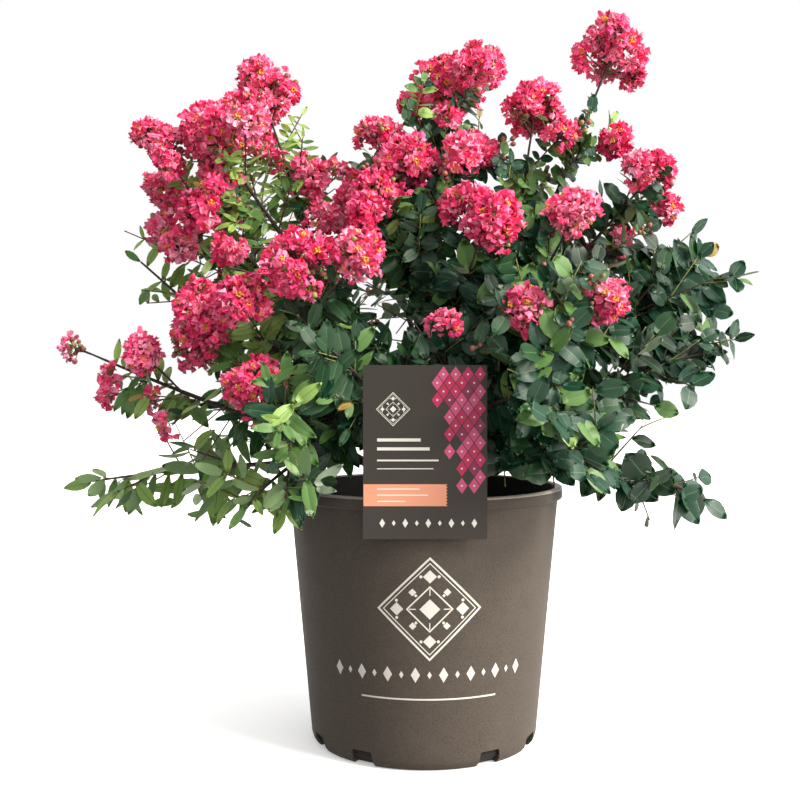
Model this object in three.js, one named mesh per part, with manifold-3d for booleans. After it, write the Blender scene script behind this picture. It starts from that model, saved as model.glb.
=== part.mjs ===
// A dwarf crape myrtle in full flower, in its nursery pot, in millimetres, +Z up.
// The origin is the middle of the pot's flat underside, and -Y is the side that the plant label faces.
// The wood is a root crown, its main stems, and a bough for each mass that begins away from its stem.
// A mass is the end of one shoot: leader, twigs, leaves and panicles, fused into one solid.

import * as THREE from "three";
import { mergeVertices } from "three/addons/utils/BufferGeometryUtils.js";
import Module from "manifold-3d";

const wasm = await Module();
wasm.setup();

// ---------------------------------------------------------------- driving dimensions

const GAP = 0.3; // left between two solids that touch
const UP = new THREE.Vector3(0, 0, 1);
const TURN = 2 * Math.PI;
const GOLDEN_TURN = THREE.MathUtils.degToRad(137.5); // from one twig to the next round a shoot

const pot = {
  height: 222,
  rimRadius: 122, // outside the band
  rimBand: 10, // height of the band
  rimStep: 4, // how far the band stands out of the wall
  footRadius: 94.5, // the flat ring it stands on
  heelRadius: 99, // where the rounded heel meets the wall
  heelRise: 8,
  wall: 2.4,
  floor: 3,
  facets: 30,
};

const drain = {
  width: 19,
  height: 13,
  depth: 16, // how far it is cut in from outside
  turns: [32, 65], // degrees from the front and from the back, on either hand
};

const soil = {
  level: 200, // at the wall
  crown: 204, // at the flat middle, which carries the root crown
  crownRadius: 36,
};

const label = {
  width: 97,
  height: 136,
  thick: 1,
  bottom: 191, // above the floor
  offset: -1.5, // of its middle, along X
  tongue: 30, // width of the hook that goes over the rim
  tongueDrop: 12, // how far the hook reaches down inside the rim
  bridgeAbove: 3, // between the rim's top and the hook
  clearFront: 190, // space in front of the card that no leaf enters
  clearEdge: 6,
};

const rootCrown = { flare: 27, shoulder: 20, height: 15, seatRadius: 15, sides: 8 };

// A limb's thickness falls evenly along it.
const wood = {
  stemBase: 4.6,
  stemTip: 3.1,
  boughBase: 2.8,
  shootTip: 1.5,
  twigShare: 0.8, // a twig's thickness at its foot, as a share of its shoot's there
  twigTip: 0.9,
  stemSides: 5,
  boughSides: 5,
  leaderSides: 4,
  twigSides: 3,
  stub: 14, // least length of the stub by which a shoot leaves its stem, or a stem the root crown
  stubClear: 1.2, // space between the stub's end and the limbs beside it
  mmPerStep: 45, // length of one straight step of a limb
};

const leaf = {
  length: 56,
  widthShare: 0.52,
  thickShare: 0.03,
  widestAt: 0.5,
  keelAt: 0.25, // where along it the keel is deepest
  sunk: 0.4, // how far its root lies behind the twig's middle line
  spread: THREE.MathUtils.degToRad(52), // between the leaf and its twig
  pairs: 2, // fewest pairs along a twig, from the first to the last share of it
  apart: 27, // from pair to pair on a longer one
  first: 0.22,
  last: 0.8,
  facing: 1.1, // how far a leaf turns its face outward, and how far it rolls to either hand
  roll: 1,
  droop: 0.1, // how far the tip drops, as a share of its length
};

const panicle = {
  lengthShare: 1.9, // its length, as a share of its radius
  ruffle: 0.4,
  narrowing: 0.15, // toward the tip
  sunk: 6, // how far it reaches back over its twig
  sectors: 6,
  bands: 4,
};

// How twigs branch off a leader. Angles are in degrees, and shares count from where the mass begins.
const branching = {
  first: 0.1,
  span: 0.76, // share of the leader from the first twig to the last
  lean: 46, // least angle between twig and leader
  leanMore: 18,
  wander: 0.5, // radians by which a twig strays from its place in the spiral
  longest: 1.12, // length of the lowest twigs, in spreads, and how much less the top ones have
  shorten: 0.35,
  rise: 0.22, // how much a twig turns up
  bloomShare: 0.68, // a twig's panicle against the leader's
  bloomMore: 0.25,
};

// How the masses share the crown.
const crown = {
  lowest: 182, // height that the hanging leaves come down to
  spineStep: 12,
  twigRoom: 9, // between a twig and the twigs of another mass
  clearance: 0.5, // between a leaf and what isn't its own mass
};

// Main stems: seat is the place on the root crown, in degrees, and the rest is where the stem ends.
const stems = [
  { name: "left_low", seat: 178, azimuth: 182, reach: 100, height: 262, bow: 0.2 },
  { name: "left", seat: 224, azimuth: 196, reach: 92, height: 318, bow: 0.1 },
  { name: "upper_left", seat: 132, azimuth: 168, reach: 84, height: 385, bow: 0.02 },
  { name: "centre", seat: 0, azimuth: 300, reach: 16, height: 380, bow: 0, seatRadius: 0 },
  { name: "upper_right", seat: 26, azimuth: 8, reach: 84, height: 390, bow: 0.02 },
  { name: "right", seat: 336, azimuth: 348, reach: 104, height: 292, bow: 0.12 },
  { name: "front", seat: 282, azimuth: 290, reach: 84, height: 290, bow: 0.14 },
  { name: "back", seat: 80, azimuth: 90, reach: 88, height: 330, bow: 0.08 },
];

// Shoots: from is the place on the stem, azimuth, reach and height give the leader's tip, bow is its arch,
// enter is where the mass begins (0: straight from the stem), spread is the twigs' length, blooms counts the
// panicles, the first of them at the tip with bloom for its radius, and seed is where the rule starts for it.
const shoots = [
  { name: "far_left", stem: "left_low", from: 1, azimuth: 181, reach: 300, height: 340, bow: -0.02,
    enter: 0.3, spread: 58, twigs: 4, blooms: 3, bloom: 16, seed: 153 },
  { name: "low_left", stem: "left_low", from: 0.5, azimuth: 175, reach: 303, height: 222, bow: 0.04,
    enter: 0.34, spread: 50, twigs: 5, blooms: 0, bloom: 0, seed: 55 },
  { name: "left_skirt", stem: "left", from: 0.4, azimuth: 213, reach: 172, height: 214, bow: 0.3,
    enter: 0, spread: 46, twigs: 5, blooms: 0, bloom: 0, seed: 14 },
  { name: "left_low", stem: "left", from: 1, azimuth: 198, reach: 173, height: 362, bow: 0.04,
    enter: 0, spread: 56, twigs: 4, blooms: 3, bloom: 28, seed: 137 },
  { name: "left_mid", stem: "left", from: 0.75, azimuth: 224, reach: 134, height: 392, bow: 0.02,
    enter: 0, spread: 54, twigs: 4, blooms: 2, bloom: 29, seed: 446 },
  { name: "left_front", stem: "left", from: 0.55, azimuth: 228, reach: 189, height: 296, bow: 0.06,
    enter: 0, spread: 54, twigs: 5, blooms: 0, bloom: 0, seed: 7 },
  { name: "inner_left", stem: "front", from: 0.35, azimuth: 242, reach: 153, height: 337, bow: 0.04,
    enter: 0, spread: 50, twigs: 5, blooms: 0, bloom: 0, seed: 1 },
  { name: "top_left", stem: "upper_left", from: 1, azimuth: 174, reach: 137, height: 545, bow: 0,
    enter: 0.35, spread: 56, twigs: 4, blooms: 3, bloom: 36, seed: 86 },
  { name: "upper_left", stem: "upper_left", from: 0.85, azimuth: 187, reach: 181, height: 518, bow: 0.04,
    enter: 0.45, spread: 56, twigs: 5, blooms: 3, bloom: 29, seed: 552 },
  { name: "left_outer", stem: "upper_left", from: 0.6, azimuth: 171, reach: 223, height: 477, bow: 0.05,
    enter: 0.4, spread: 56, twigs: 5, blooms: 3, bloom: 24, seed: 163 },
  { name: "left_twig", stem: "left_low", from: 0.88, azimuth: 170, reach: 266, height: 424, bow: 0.04,
    enter: 0.45, spread: 40, twigs: 4, blooms: 0, bloom: 0, seed: 7 },
  { name: "centre_left", stem: "centre", from: 0.8, azimuth: 247, reach: 35, height: 479, bow: 0,
    enter: 0, spread: 54, twigs: 5, blooms: 3, bloom: 28, seed: 34 },
  { name: "top_mid", stem: "centre", from: 1, azimuth: 39, reach: 26, height: 561, bow: 0,
    enter: 0.4, spread: 56, twigs: 5, blooms: 3, bloom: 29, seed: 26 },
  { name: "centre", stem: "centre", from: 0.62, azimuth: 299, reach: 91, height: 429, bow: 0,
    enter: 0, spread: 56, twigs: 4, blooms: 2, bloom: 28, seed: 570 },
  { name: "spire", stem: "upper_right", from: 1, azimuth: 7, reach: 164, height: 589, bow: 0,
    enter: 0.45, spread: 34, twigs: 4, blooms: 1, bloom: 33, seed: 7 },
  { name: "upper_right", stem: "upper_right", from: 0.82, azimuth: 3, reach: 96, height: 532, bow: 0,
    enter: 0, spread: 54, twigs: 4, blooms: 2, bloom: 29, seed: 5 },
  { name: "right_upper", stem: "upper_right", from: 0.62, azimuth: 356, reach: 196, height: 489, bow: 0.03,
    enter: 0.35, spread: 50, twigs: 5, blooms: 3, bloom: 18, seed: 126 },
  { name: "centre_right", stem: "upper_right", from: 0.42, azimuth: 331, reach: 134, height: 438, bow: 0.02,
    enter: 0, spread: 52, twigs: 5, blooms: 1, bloom: 22, seed: 1 },
  { name: "right_dome", stem: "right", from: 1, azimuth: 7, reach: 246, height: 422, bow: 0.06,
    enter: 0.35, spread: 52, twigs: 6, blooms: 0, bloom: 0, seed: 1 },
  { name: "right_mid", stem: "right", from: 0.8, azimuth: 354, reach: 245, height: 339, bow: 0.05,
    enter: 0.3, spread: 50, twigs: 6, blooms: 0, bloom: 0, seed: 5 },
  { name: "low_right", stem: "right", from: 0.5, azimuth: 349, reach: 240, height: 214, bow: 0.14,
    enter: 0.35, spread: 48, twigs: 5, blooms: 0, bloom: 0, seed: 4 },
  { name: "front_right", stem: "front", from: 1, azimuth: 319, reach: 170, height: 369, bow: 0.03,
    enter: 0, spread: 56, twigs: 5, blooms: 2, bloom: 22, seed: 26 },
  { name: "front_low", stem: "front", from: 0.72, azimuth: 317, reach: 185, height: 245, bow: 0.16,
    enter: 0, spread: 48, twigs: 5, blooms: 0, bloom: 0, seed: 5 },
  { name: "inner_right", stem: "front", from: 0.86, azimuth: 304, reach: 180, height: 312, bow: 0.06,
    enter: 0, spread: 50, twigs: 5, blooms: 0, bloom: 0, seed: 1 },
  { name: "front_centre", stem: "front", from: 0.6, azimuth: 278, reach: 107, height: 352, bow: 0.02,
    enter: 0, spread: 48, twigs: 5, blooms: 1, bloom: 14, seed: 4 },
  { name: "back_top", stem: "back", from: 1, azimuth: 109, reach: 132, height: 483, bow: 0.02,
    enter: 0.35, spread: 58, twigs: 4, blooms: 3, bloom: 30, seed: 1 },
  { name: "back_left", stem: "back", from: 0.75, azimuth: 126, reach: 222, height: 389, bow: 0.06,
    enter: 0.35, spread: 58, twigs: 4, blooms: 2, bloom: 27, seed: 1 },
  { name: "back_right", stem: "back", from: 0.88, azimuth: 59, reach: 201, height: 416, bow: 0.04,
    enter: 0.35, spread: 58, twigs: 4, blooms: 2, bloom: 29, seed: 1 },
  { name: "back_low", stem: "back", from: 0.45, azimuth: 88, reach: 215, height: 292, bow: 0.14,
    enter: 0, spread: 54, twigs: 4, blooms: 0, bloom: 0, seed: 1 },
  { name: "back_right_low", stem: "right", from: 0.3, azimuth: 33, reach: 238, height: 289, bow: 0.16,
    enter: 0, spread: 54, twigs: 4, blooms: 0, bloom: 0, seed: 1 },
  { name: "back_left_low", stem: "left_low", from: 0.45, azimuth: 150, reach: 238, height: 284, bow: 0.14,
    enter: 0, spread: 54, twigs: 4, blooms: 0, bloom: 0, seed: 1 },
];

// ---------------------------------------------------------------- materials

function finish(name, colour, roughness) {
  return new THREE.MeshStandardMaterial({ name, color: new THREE.Color(colour), roughness, metalness: 0 });
}

const materials = {
  pot: finish("polypropylene", "#6b6157", 0.55),
  soil: finish("potting_mix", "#2a211c", 0.95),
  label: finish("label_card", "#4a4540", 0.4),
  bark: finish("bark", "#3c2c29", 0.85),
  foliage: finish("foliage", "#2f5a2c", 0.5),
  blossom: finish("blossom", "#e0315f", 0.6),
};

// ---------------------------------------------------------------- solids

// A closed three.js geometry as a solid that can be joined and cut.
function solidOf(geometry) {
  const bare = new THREE.BufferGeometry();
  bare.setAttribute("position", geometry.getAttribute("position"));
  if (geometry.index) bare.setIndex(geometry.index);
  const merged = mergeVertices(bare, 1e-4);
  const corners = merged.index.array;
  const faces = [];
  for (let i = 0; i < corners.length; i += 3) {
    const [a, b, c] = corners.subarray(i, i + 3);
    if (a !== b && b !== c && c !== a) faces.push(a, b, c);
  }
  const vertProperties = new Float32Array(merged.attributes.position.array);
  return new wasm.Manifold(new wasm.Mesh({ numProp: 3, vertProperties, triVerts: new Uint32Array(faces) }));
}

function geometryOf(solid) {
  const mesh = solid.getMesh();
  const geometry = new THREE.BufferGeometry();
  geometry.setAttribute("position", new THREE.BufferAttribute(new Float32Array(mesh.vertProperties), 3));
  geometry.setIndex(new THREE.BufferAttribute(new Uint32Array(mesh.triVerts), 1));
  geometry.computeVertexNormals();
  return geometry;
}

function joined(solids) {
  return solids.reduce((whole, next) => whole.add(next));
}

// A solid of revolution about Z from (radius, height) pairs, which start and end on the axis.
function turned(profile, facets) {
  const points = profile.map(([radius, height]) => new THREE.Vector2(radius, height));
  return solidOf(new THREE.LatheGeometry(points, facets).rotateX(Math.PI / 2));
}

function block(width, depth, height, x, y, z) {
  return solidOf(new THREE.BoxGeometry(width, depth, height).translate(x, y, z));
}

// The least box that holds a solid, as THREE.Box3.
function boxOf(solid) {
  const { min, max } = solid.boundingBox();
  return new THREE.Box3(new THREE.Vector3(...min), new THREE.Vector3(...max));
}

// ---------------------------------------------------------------- pot, root ball and label

const wallTopRadius = pot.rimRadius - pot.rimStep;
const bandBottom = pot.height - pot.rimBand;

// Outer radius of the wall at a height above the heel.
function wallRadius(height) {
  const share = (height - pot.heelRise) / (bandBottom - pot.heelRise);
  return THREE.MathUtils.lerp(pot.heelRadius, wallTopRadius, share);
}

function makePot() {
  const inside = wallRadius(bandBottom) - pot.wall;
  const shell = turned(
    [
      [0, 0],
      [pot.footRadius, 0],
      [pot.heelRadius - 1.6, 2.6],
      [pot.heelRadius, pot.heelRise],
      [wallTopRadius, bandBottom],
      [pot.rimRadius, bandBottom + 1],
      [pot.rimRadius, pot.height - 1.4],
      [pot.rimRadius - 1.4, pot.height],
      [inside, pot.height],
      [inside, bandBottom],
      [wallRadius(pot.heelRise) - pot.wall, pot.heelRise],
      [pot.footRadius - 1, pot.floor],
      [0, pot.floor],
    ],
    pot.facets,
  );
  const cuts = drain.turns.flatMap((turn) => [turn, -turn, 180 - turn, turn - 180]).map((degrees) =>
    solidOf(
      new THREE.BoxGeometry(drain.width, drain.depth, 2 * drain.height)
        .translate(0, -(pot.heelRadius + 4 - drain.depth / 2), 0)
        .rotateZ(THREE.MathUtils.degToRad(degrees)),
    ),
  );
  return shell.subtract(joined(cuts));
}

// The root ball fills the pot, clear of its wall and floor, and keeps the pot's shape where a drain shows it.
function makeRootBall() {
  const inner = (height) => wallRadius(height) - pot.wall - GAP;
  return turned(
    [
      [0, pot.floor + GAP],
      [pot.footRadius - 2, pot.floor + GAP],
      [inner(pot.heelRise) - 0.4, pot.heelRise],
      [inner(soil.level) - 0.4, soil.level],
      [soil.crownRadius + 30, soil.level + 1.5],
      [soil.crownRadius, soil.crown],
      [0, soil.crown],
    ],
    pot.facets,
  );
}

// The card stands in front of the rim and hangs on it by a hook moulded to its back.
const labelBack = -(pot.rimRadius + GAP);

function makeLabel() {
  const middle = label.bottom + label.height / 2;
  const depth = labelBack - label.thick / 2;
  const card = block(label.width, label.thick, label.height, label.offset, depth, middle);
  const insideFacet = (wallRadius(bandBottom) - pot.wall) * Math.cos(Math.PI / pot.facets);
  const hookFront = -(Math.sqrt(insideFacet ** 2 - (label.tongue / 2 - label.offset) ** 2) - GAP);
  const bridgeHeight = pot.height + label.bridgeAbove;
  const bridgeDepth = hookFront + label.thick - labelBack;
  const bridge = block(
    label.tongue, bridgeDepth + 0.5, label.thick,
    label.offset, labelBack + (bridgeDepth - 0.5) / 2, bridgeHeight,
  );
  const drop = label.tongueDrop + label.bridgeAbove;
  const tongue = block(
    label.tongue, label.thick, drop,
    label.offset, hookFront + label.thick / 2, bridgeHeight + label.thick / 2 - drop / 2,
  );
  return joined([card, bridge, tongue]);
}

// The space before the card, which the foliage leaves free.
function labelSpace() {
  return block(
    label.width + 2 * label.clearEdge, label.clearFront, label.height + 2 * label.clearEdge,
    label.offset, labelBack - label.clearFront / 2 + 3, label.bottom + label.height / 2,
  );
}

// ---------------------------------------------------------------- limbs

function place(azimuth, reach, height) {
  const angle = THREE.MathUtils.degToRad(azimuth);
  return new THREE.Vector3(reach * Math.cos(angle), reach * Math.sin(angle), height);
}

// A limb's line: from start to end in one upright plane, arched up by bow times its length.
function limbLine(start, end, bow) {
  const chord = end.clone().sub(start);
  const middle = start.clone().addScaledVector(chord, 0.5).addScaledVector(UP, bow * chord.length());
  const curve = new THREE.QuadraticBezierCurve3(start, middle, end);
  const across = chord.clone().cross(UP);
  if (across.length() < 1) across.set(1, 0, 0);
  return { curve, across: across.normalize(), length: curve.getLength() };
}

// The directions at a place on a line: along it, and the two that a section lies in.
function frameAt(line, share) {
  const along = line.curve.getTangentAt(share);
  const upward = line.across.clone().cross(along).normalize();
  return { point: line.curve.getPointAt(share), along, across: line.across, upward };
}

// A tapering round solid along a line between two shares of its length.
function limbSolid(line, from, to, radiusAt, sides, steps) {
  const tube = new THREE.CylinderGeometry(1, 1, 1, sides, steps, false, sides % 2 ? 0 : Math.PI / sides);
  const at = tube.getAttribute("position");
  for (let i = 0; i < at.count; i++) {
    const share = THREE.MathUtils.lerp(from, to, at.getY(i) + 0.5);
    const { point, across, upward } = frameAt(line, share);
    const radius = radiusAt(share);
    point.addScaledVector(across, at.getX(i) * radius).addScaledVector(upward, at.getZ(i) * radius);
    at.setXYZ(i, point.x, point.y, point.z);
  }
  return solidOf(tube);
}

function stepsFor(line, from, to) {
  return Math.max(1, Math.round((line.length * (to - from)) / wood.mmPerStep));
}

const taper = (first, last) => (share) => THREE.MathUtils.lerp(first, last, share);
const stemRadius = taper(wood.stemBase, wood.stemTip);
const shootRadius = taper(wood.boughBase, wood.shootTip);

// Where a limb's stub ends: at least a stub's length out, and clear of the limbs that start beside it.
function stubEndOf(line, radiusAt, beside) {
  for (let share = wood.stub / line.length; share < 0.9; share += 2 / line.length) {
    const { point } = frameAt(line, share);
    const clear = beside.every(([other, otherRadiusAt]) =>
      other.curve.getSpacedPoints(60).every((near, i) => {
        const room = radiusAt(share) + otherRadiusAt(i / 60) + wood.stubClear;
        return near.distanceTo(point) > room;
      }),
    );
    if (clear) return share;
  }
  throw new Error("a limb never parts from the limb beside it");
}

// ---------------------------------------------------------------- the seeded rule

// A small random generator that gives the same numbers from the same seed on any machine.
function seeded(seed) {
  let state = seed >>> 0;
  return () => {
    state = (state + 0x6d2b79f5) >>> 0;
    let mixed = Math.imul(state ^ (state >>> 15), state | 1);
    mixed = (mixed + Math.imul(mixed ^ (mixed >>> 7), mixed | 61)) ^ mixed;
    return ((mixed ^ (mixed >>> 14)) >>> 0) / 4294967296;
  };
}

// The twigs of one shoot, from where its mass begins to near its tip. The last ones end in a panicle.
function growTwigs(shoot, line, random) {
  const twigs = [];
  const firstSpin = random() * TURN;
  for (let k = 0; k < shoot.twigs; k++) {
    const rank = (k + 0.5) / shoot.twigs;
    const share = THREE.MathUtils.lerp(shoot.begin, 1, branching.first + branching.span * rank);
    const spin = firstSpin + k * GOLDEN_TURN + (random() - 0.5) * branching.wander;
    const lean = THREE.MathUtils.degToRad(branching.lean + branching.leanMore * random());
    const length = shoot.spread * (branching.longest - branching.shorten * rank) * (0.85 + 0.3 * random());
    const { point, along, across, upward } = frameAt(line, share);
    const way = along.clone().multiplyScalar(Math.cos(lean));
    way.addScaledVector(across, Math.sin(lean) * Math.cos(spin));
    way.addScaledVector(upward, Math.sin(lean) * Math.sin(spin));
    way.z += branching.rise;
    way.normalize();
    const blooms = shoot.twigs - k < shoot.blooms;
    const bloom = blooms ? shoot.bloom * (branching.bloomShare + branching.bloomMore * random()) : 0;
    const end = point.clone().addScaledVector(way, length);
    twigs.push({ line: limbLine(point, end, 0), foot: wood.twigShare * shootRadius(share), bloom });
  }
  return twigs;
}

// ---------------------------------------------------------------- leaves and panicles

// A thin, pointed blade of six faces with a keel below, from its root along a way, face up along lift.
function leafSolid(root, way, lift, length) {
  const blade = new THREE.SphereGeometry(1, 3, 2); // two points and a triangle round the middle
  const side = way.clone().cross(lift).normalize();
  const face = side.clone().cross(way).normalize();
  const at = blade.getAttribute("position");
  for (let i = 0; i < at.count; i++) {
    const keel = at.getX(i) < -0.5;
    const atMiddle = keel ? leaf.keelAt : leaf.widestAt;
    const reach = at.getY(i) > 0.5 ? 1 : at.getY(i) < -0.5 ? 0 : atMiddle;
    const point = root.clone().addScaledVector(way, reach * length);
    point.addScaledVector(face, -length * (leaf.droop * reach * reach + (keel ? leaf.thickShare : 0)));
    point.addScaledVector(side, -(at.getZ(i) / 0.866) * (length * leaf.widthShare) / 2);
    at.setXYZ(i, point.x, point.y, point.z);
  }
  return solidOf(blade);
}

// A blunt pyramid of crinkled blossom round the end of a twig.
function panicleSolid(start, way, radius, random) {
  const sphere = new THREE.SphereGeometry(1, panicle.sectors, panicle.bands);
  const ball = mergeVertices(sphere.deleteAttribute("normal").deleteAttribute("uv"));
  const across = Math.abs(way.z) > 0.9 ? new THREE.Vector3(1, 0, 0) : way.clone().cross(UP).normalize();
  const upward = across.clone().cross(way).normalize();
  const half = (radius * panicle.lengthShare) / 2;
  const at = ball.getAttribute("position");
  for (let i = 0; i < at.count; i++) {
    const ruffle = 1 + panicle.ruffle * (random() - 0.5);
    const width = radius * ruffle * (1 - panicle.narrowing * at.getY(i));
    const point = start.clone().addScaledVector(way, half * (1 + at.getY(i) * ruffle) - panicle.sunk);
    point.addScaledVector(across, at.getX(i) * width).addScaledVector(upward, at.getZ(i) * width);
    at.setXYZ(i, point.x, point.y, point.z);
  }
  return solidOf(ball);
}

// ---------------------------------------------------------------- the spaces of the masses

// A spine is a limb's line as points a step apart, each with the room that belongs to it.
function spineOf(line, from, to) {
  const count = Math.max(2, Math.ceil((line.length * (to - from)) / crown.spineStep));
  return Array.from({ length: count + 1 }, (_, i) => ({
    point: line.curve.getPointAt(THREE.MathUtils.lerp(from, to, i / count)),
    room: 0,
  }));
}

// The spine of a panicle, which goes on from the tip of its twig.
function panicleSpine(tip, radius) {
  const reach = radius * panicle.lengthShare - panicle.sunk;
  return [0.2, 0.5, 0.8].map((share) => ({
    point: tip.point.clone().addScaledVector(tip.along, share * reach),
    room: radius * 0.8,
  }));
}

function distanceTo(spine, point) {
  return spine.reduce((least, near) => Math.min(least, near.point.distanceTo(point) - near.room), Infinity);
}

// A mass's own space is what lies nearer to its own spine than to the spine of any other mass.
function staysInSpace(solid, mine) {
  const { vertProperties, triVerts, numProp } = solid.getMesh();
  const corner = (i) => new THREE.Vector3(...vertProperties.slice(numProp * i, numProp * i + 3));
  for (let i = 0; i < triVerts.length; i++) {
    const next = triVerts[i % 3 === 2 ? i - 2 : i + 1];
    const start = corner(triVerts[i]);
    for (const point of [start, corner(next).add(start).multiplyScalar(0.5)]) {
      const limit = distanceTo(mine.spine, point) + 2 * crown.clearance;
      const taken = shoots.some((other) => other !== mine && distanceTo(other.spine, point) < limit);
      if (taken || point.z < crown.lowest) return false;
    }
  }
  return true;
}

const withBox = (solid, name) => ({ name, solid, box: boxOf(solid) });

function touches(part, obstacles) {
  const meets = ({ solid, box }) => box.intersectsBox(part.box) && !solid.intersect(part.solid).isEmpty();
  return obstacles.some(meets);
}

// ---------------------------------------------------------------- the plant

const pieces = new Map(); // node name: [solid, material]

pieces.set("pot", [makePot(), materials.pot]);
pieces.set("root_ball", [makeRootBall(), materials.soil]);
pieces.set("label", [makeLabel(), materials.label]);

// Lines of the stems, and of the shoots that leave them.
const ground = soil.crown + GAP;
const stemLines = new Map();
for (const stem of stems) {
  const start = place(stem.seat, stem.seatRadius ?? rootCrown.seatRadius, ground + 3);
  stemLines.set(stem.name, limbLine(start, place(stem.azimuth, stem.reach, stem.height), stem.bow));
}
for (const shoot of shoots) {
  const start = frameAt(stemLines.get(shoot.stem), shoot.from).point;
  shoot.line = limbLine(start, place(shoot.azimuth, shoot.reach, shoot.height), shoot.bow);
}

for (const [name, line] of stemLines) {
  const beside = [...stemLines].filter(([other]) => other !== name).map(([, other]) => [other, stemRadius]);
  line.stubEnd = stubEndOf(line, stemRadius, beside);
}
for (const shoot of shoots) {
  const beside = shoots
    .filter((other) => other !== shoot && other.stem === shoot.stem)
    .map((other) => [other.line, shootRadius]);
  if (shoot.from < 1) beside.push([stemLines.get(shoot.stem), stemRadius]);
  shoot.stubEnd = stubEndOf(shoot.line, shootRadius, beside);
  shoot.gap = GAP / shoot.line.length;
  shoot.begin = Math.max(shoot.enter, shoot.stubEnd);
}

// Root crown: a low woody stool that flares to the ground, cut flat there, with the stubs of the stems.
function makeRootCrown() {
  const dome = turned(
    [
      [0, ground - 2],
      [rootCrown.flare, ground - 2],
      [rootCrown.shoulder, ground + rootCrown.height * 0.35],
      [rootCrown.shoulder * 0.7, ground + rootCrown.height * 0.8],
      [0, ground + rootCrown.height],
    ],
    rootCrown.sides,
  );
  const parts = [dome];
  for (const stem of stems) {
    const line = stemLines.get(stem.name);
    parts.push(limbSolid(line, 0, line.stubEnd, stemRadius, wood.stemSides, 1));
  }
  const below = block(200, 200, 40, 0, 0, ground - 20);
  return joined(parts).subtract(below);
}

pieces.set("root_crown", [makeRootCrown(), materials.bark]);

// Stems, each with the stubs of its shoots.
for (const stem of stems) {
  const line = stemLines.get(stem.name);
  const start = line.stubEnd + GAP / line.length;
  const parts = [limbSolid(line, start, 1, stemRadius, wood.stemSides, stepsFor(line, start, 1))];
  for (const shoot of shoots.filter((one) => one.stem === stem.name)) {
    parts.push(limbSolid(shoot.line, 0, shoot.stubEnd, shootRadius, wood.boughSides, 1));
  }
  pieces.set("stem_" + stem.name, [joined(parts), materials.bark]);
}

// Boughs, from the stub to where the mass begins.
for (const shoot of shoots) {
  if (shoot.enter <= shoot.stubEnd) continue;
  const from = shoot.stubEnd + shoot.gap;
  const steps = stepsFor(shoot.line, from, shoot.enter);
  const solid = limbSolid(shoot.line, from, shoot.enter, shootRadius, wood.boughSides, steps);
  pieces.set("bough_" + shoot.name, [solid, materials.bark]);
}

// What the leaves and twigs keep clear of: everything made so far, the card's space, and all the leaders.
const obstacles = [...pieces].map(([name, [solid]]) => withBox(solid, name));
obstacles.push(withBox(labelSpace(), "label_space"));
for (const shoot of shoots) {
  const from = shoot.begin + shoot.gap;
  const steps = stepsFor(shoot.line, from, 1);
  shoot.leader = withBox(limbSolid(shoot.line, from, 1, shootRadius, wood.leaderSides, steps), shoot.name);
  shoot.spine = spineOf(shoot.line, shoot.begin, 1);
  if (shoot.blooms) shoot.spine.push(...panicleSpine(frameAt(shoot.line, 1), shoot.bloom));
  obstacles.push(shoot.leader);
}

// Twigs come next, so that each mass has the space round all of its own twigs.
for (const shoot of shoots) {
  const others = obstacles.filter((obstacle) => obstacle.name !== shoot.name);
  shoot.grown = [];
  for (const { line, foot, bloom } of growTwigs(shoot, shoot.line, seeded(shoot.seed))) {
    const part = withBox(limbSolid(line, 0, 1, taper(foot, wood.twigTip), wood.twigSides, 1), shoot.name);
    const spine = spineOf(line, 0.3, 1);
    if (bloom) spine.push(...panicleSpine(frameAt(line, 1), bloom));
    const isNear = ({ spine: line }) =>
      spine.some(({ point, room }) => distanceTo(line, point) < room + crown.twigRoom);
    if (touches(part, others) || shoots.some((other) => other !== shoot && isNear(other))) continue;
    shoot.spine.push(...spine);
    shoot.grown.push({ line, part, from: 0, bloom });
  }
}

// A mass: the leader and its twigs, the panicles at their ends, and the leaves that find room between them.
function makeMass(shoot) {
  const others = obstacles.filter((obstacle) => obstacle.name !== shoot.name);
  const leader = { line: shoot.line, part: shoot.leader, from: shoot.begin, bloom: shoot.bloom };
  const bearers = [leader, ...shoot.grown];
  const parts = bearers.map(({ part }) => part);
  const add = (solid, clearOf) => {
    const part = withBox(solid, shoot.name);
    if (staysInSpace(solid, shoot) && !touches(part, others) && !touches(part, clearOf)) parts.push(part);
  };

  const random = seeded(shoot.seed + 1000);
  for (const { line, bloom } of bearers.filter((bearer) => bearer.bloom)) {
    const tip = frameAt(line, 1);
    add(panicleSolid(tip.point, tip.along, bloom, random), []);
  }

  const addLeaf = (bearer, share, hand) => {
    const place = THREE.MathUtils.lerp(bearer.from, 1, share);
    const { point, along, across, upward } = frameAt(bearer.line, place);
    const way = along.clone().multiplyScalar(Math.cos(leaf.spread));
    way.addScaledVector(across, hand * Math.sin(leaf.spread)).normalize();
    const outward = point.clone().setZ(0).normalize();
    const lift = upward.clone().addScaledVector(outward, leaf.facing * random());
    lift.addScaledVector(across, leaf.roll * (random() - 0.5));
    const root = point.addScaledVector(way, -leaf.sunk);
    const length = leaf.length * (0.85 + 0.3 * random());
    add(leafSolid(root, way, lift, length), parts.filter((part) => part !== bearer.part));
  };
  for (const bearer of bearers) {
    const room = bearer.line.length * (1 - bearer.from);
    const pairs = Math.max(leaf.pairs, Math.round(room / leaf.apart));
    for (let k = 0; k < pairs; k++) {
      const share = THREE.MathUtils.lerp(leaf.first, leaf.last, k / (pairs - 1));
      for (const hand of [1, -1]) addLeaf(bearer, share, hand);
    }
    if (!bearer.bloom) addLeaf(bearer, 0.98, 0.05);
  }
  obstacles.push(...parts);
  return joined(parts.map(({ solid }) => solid));
}

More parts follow.
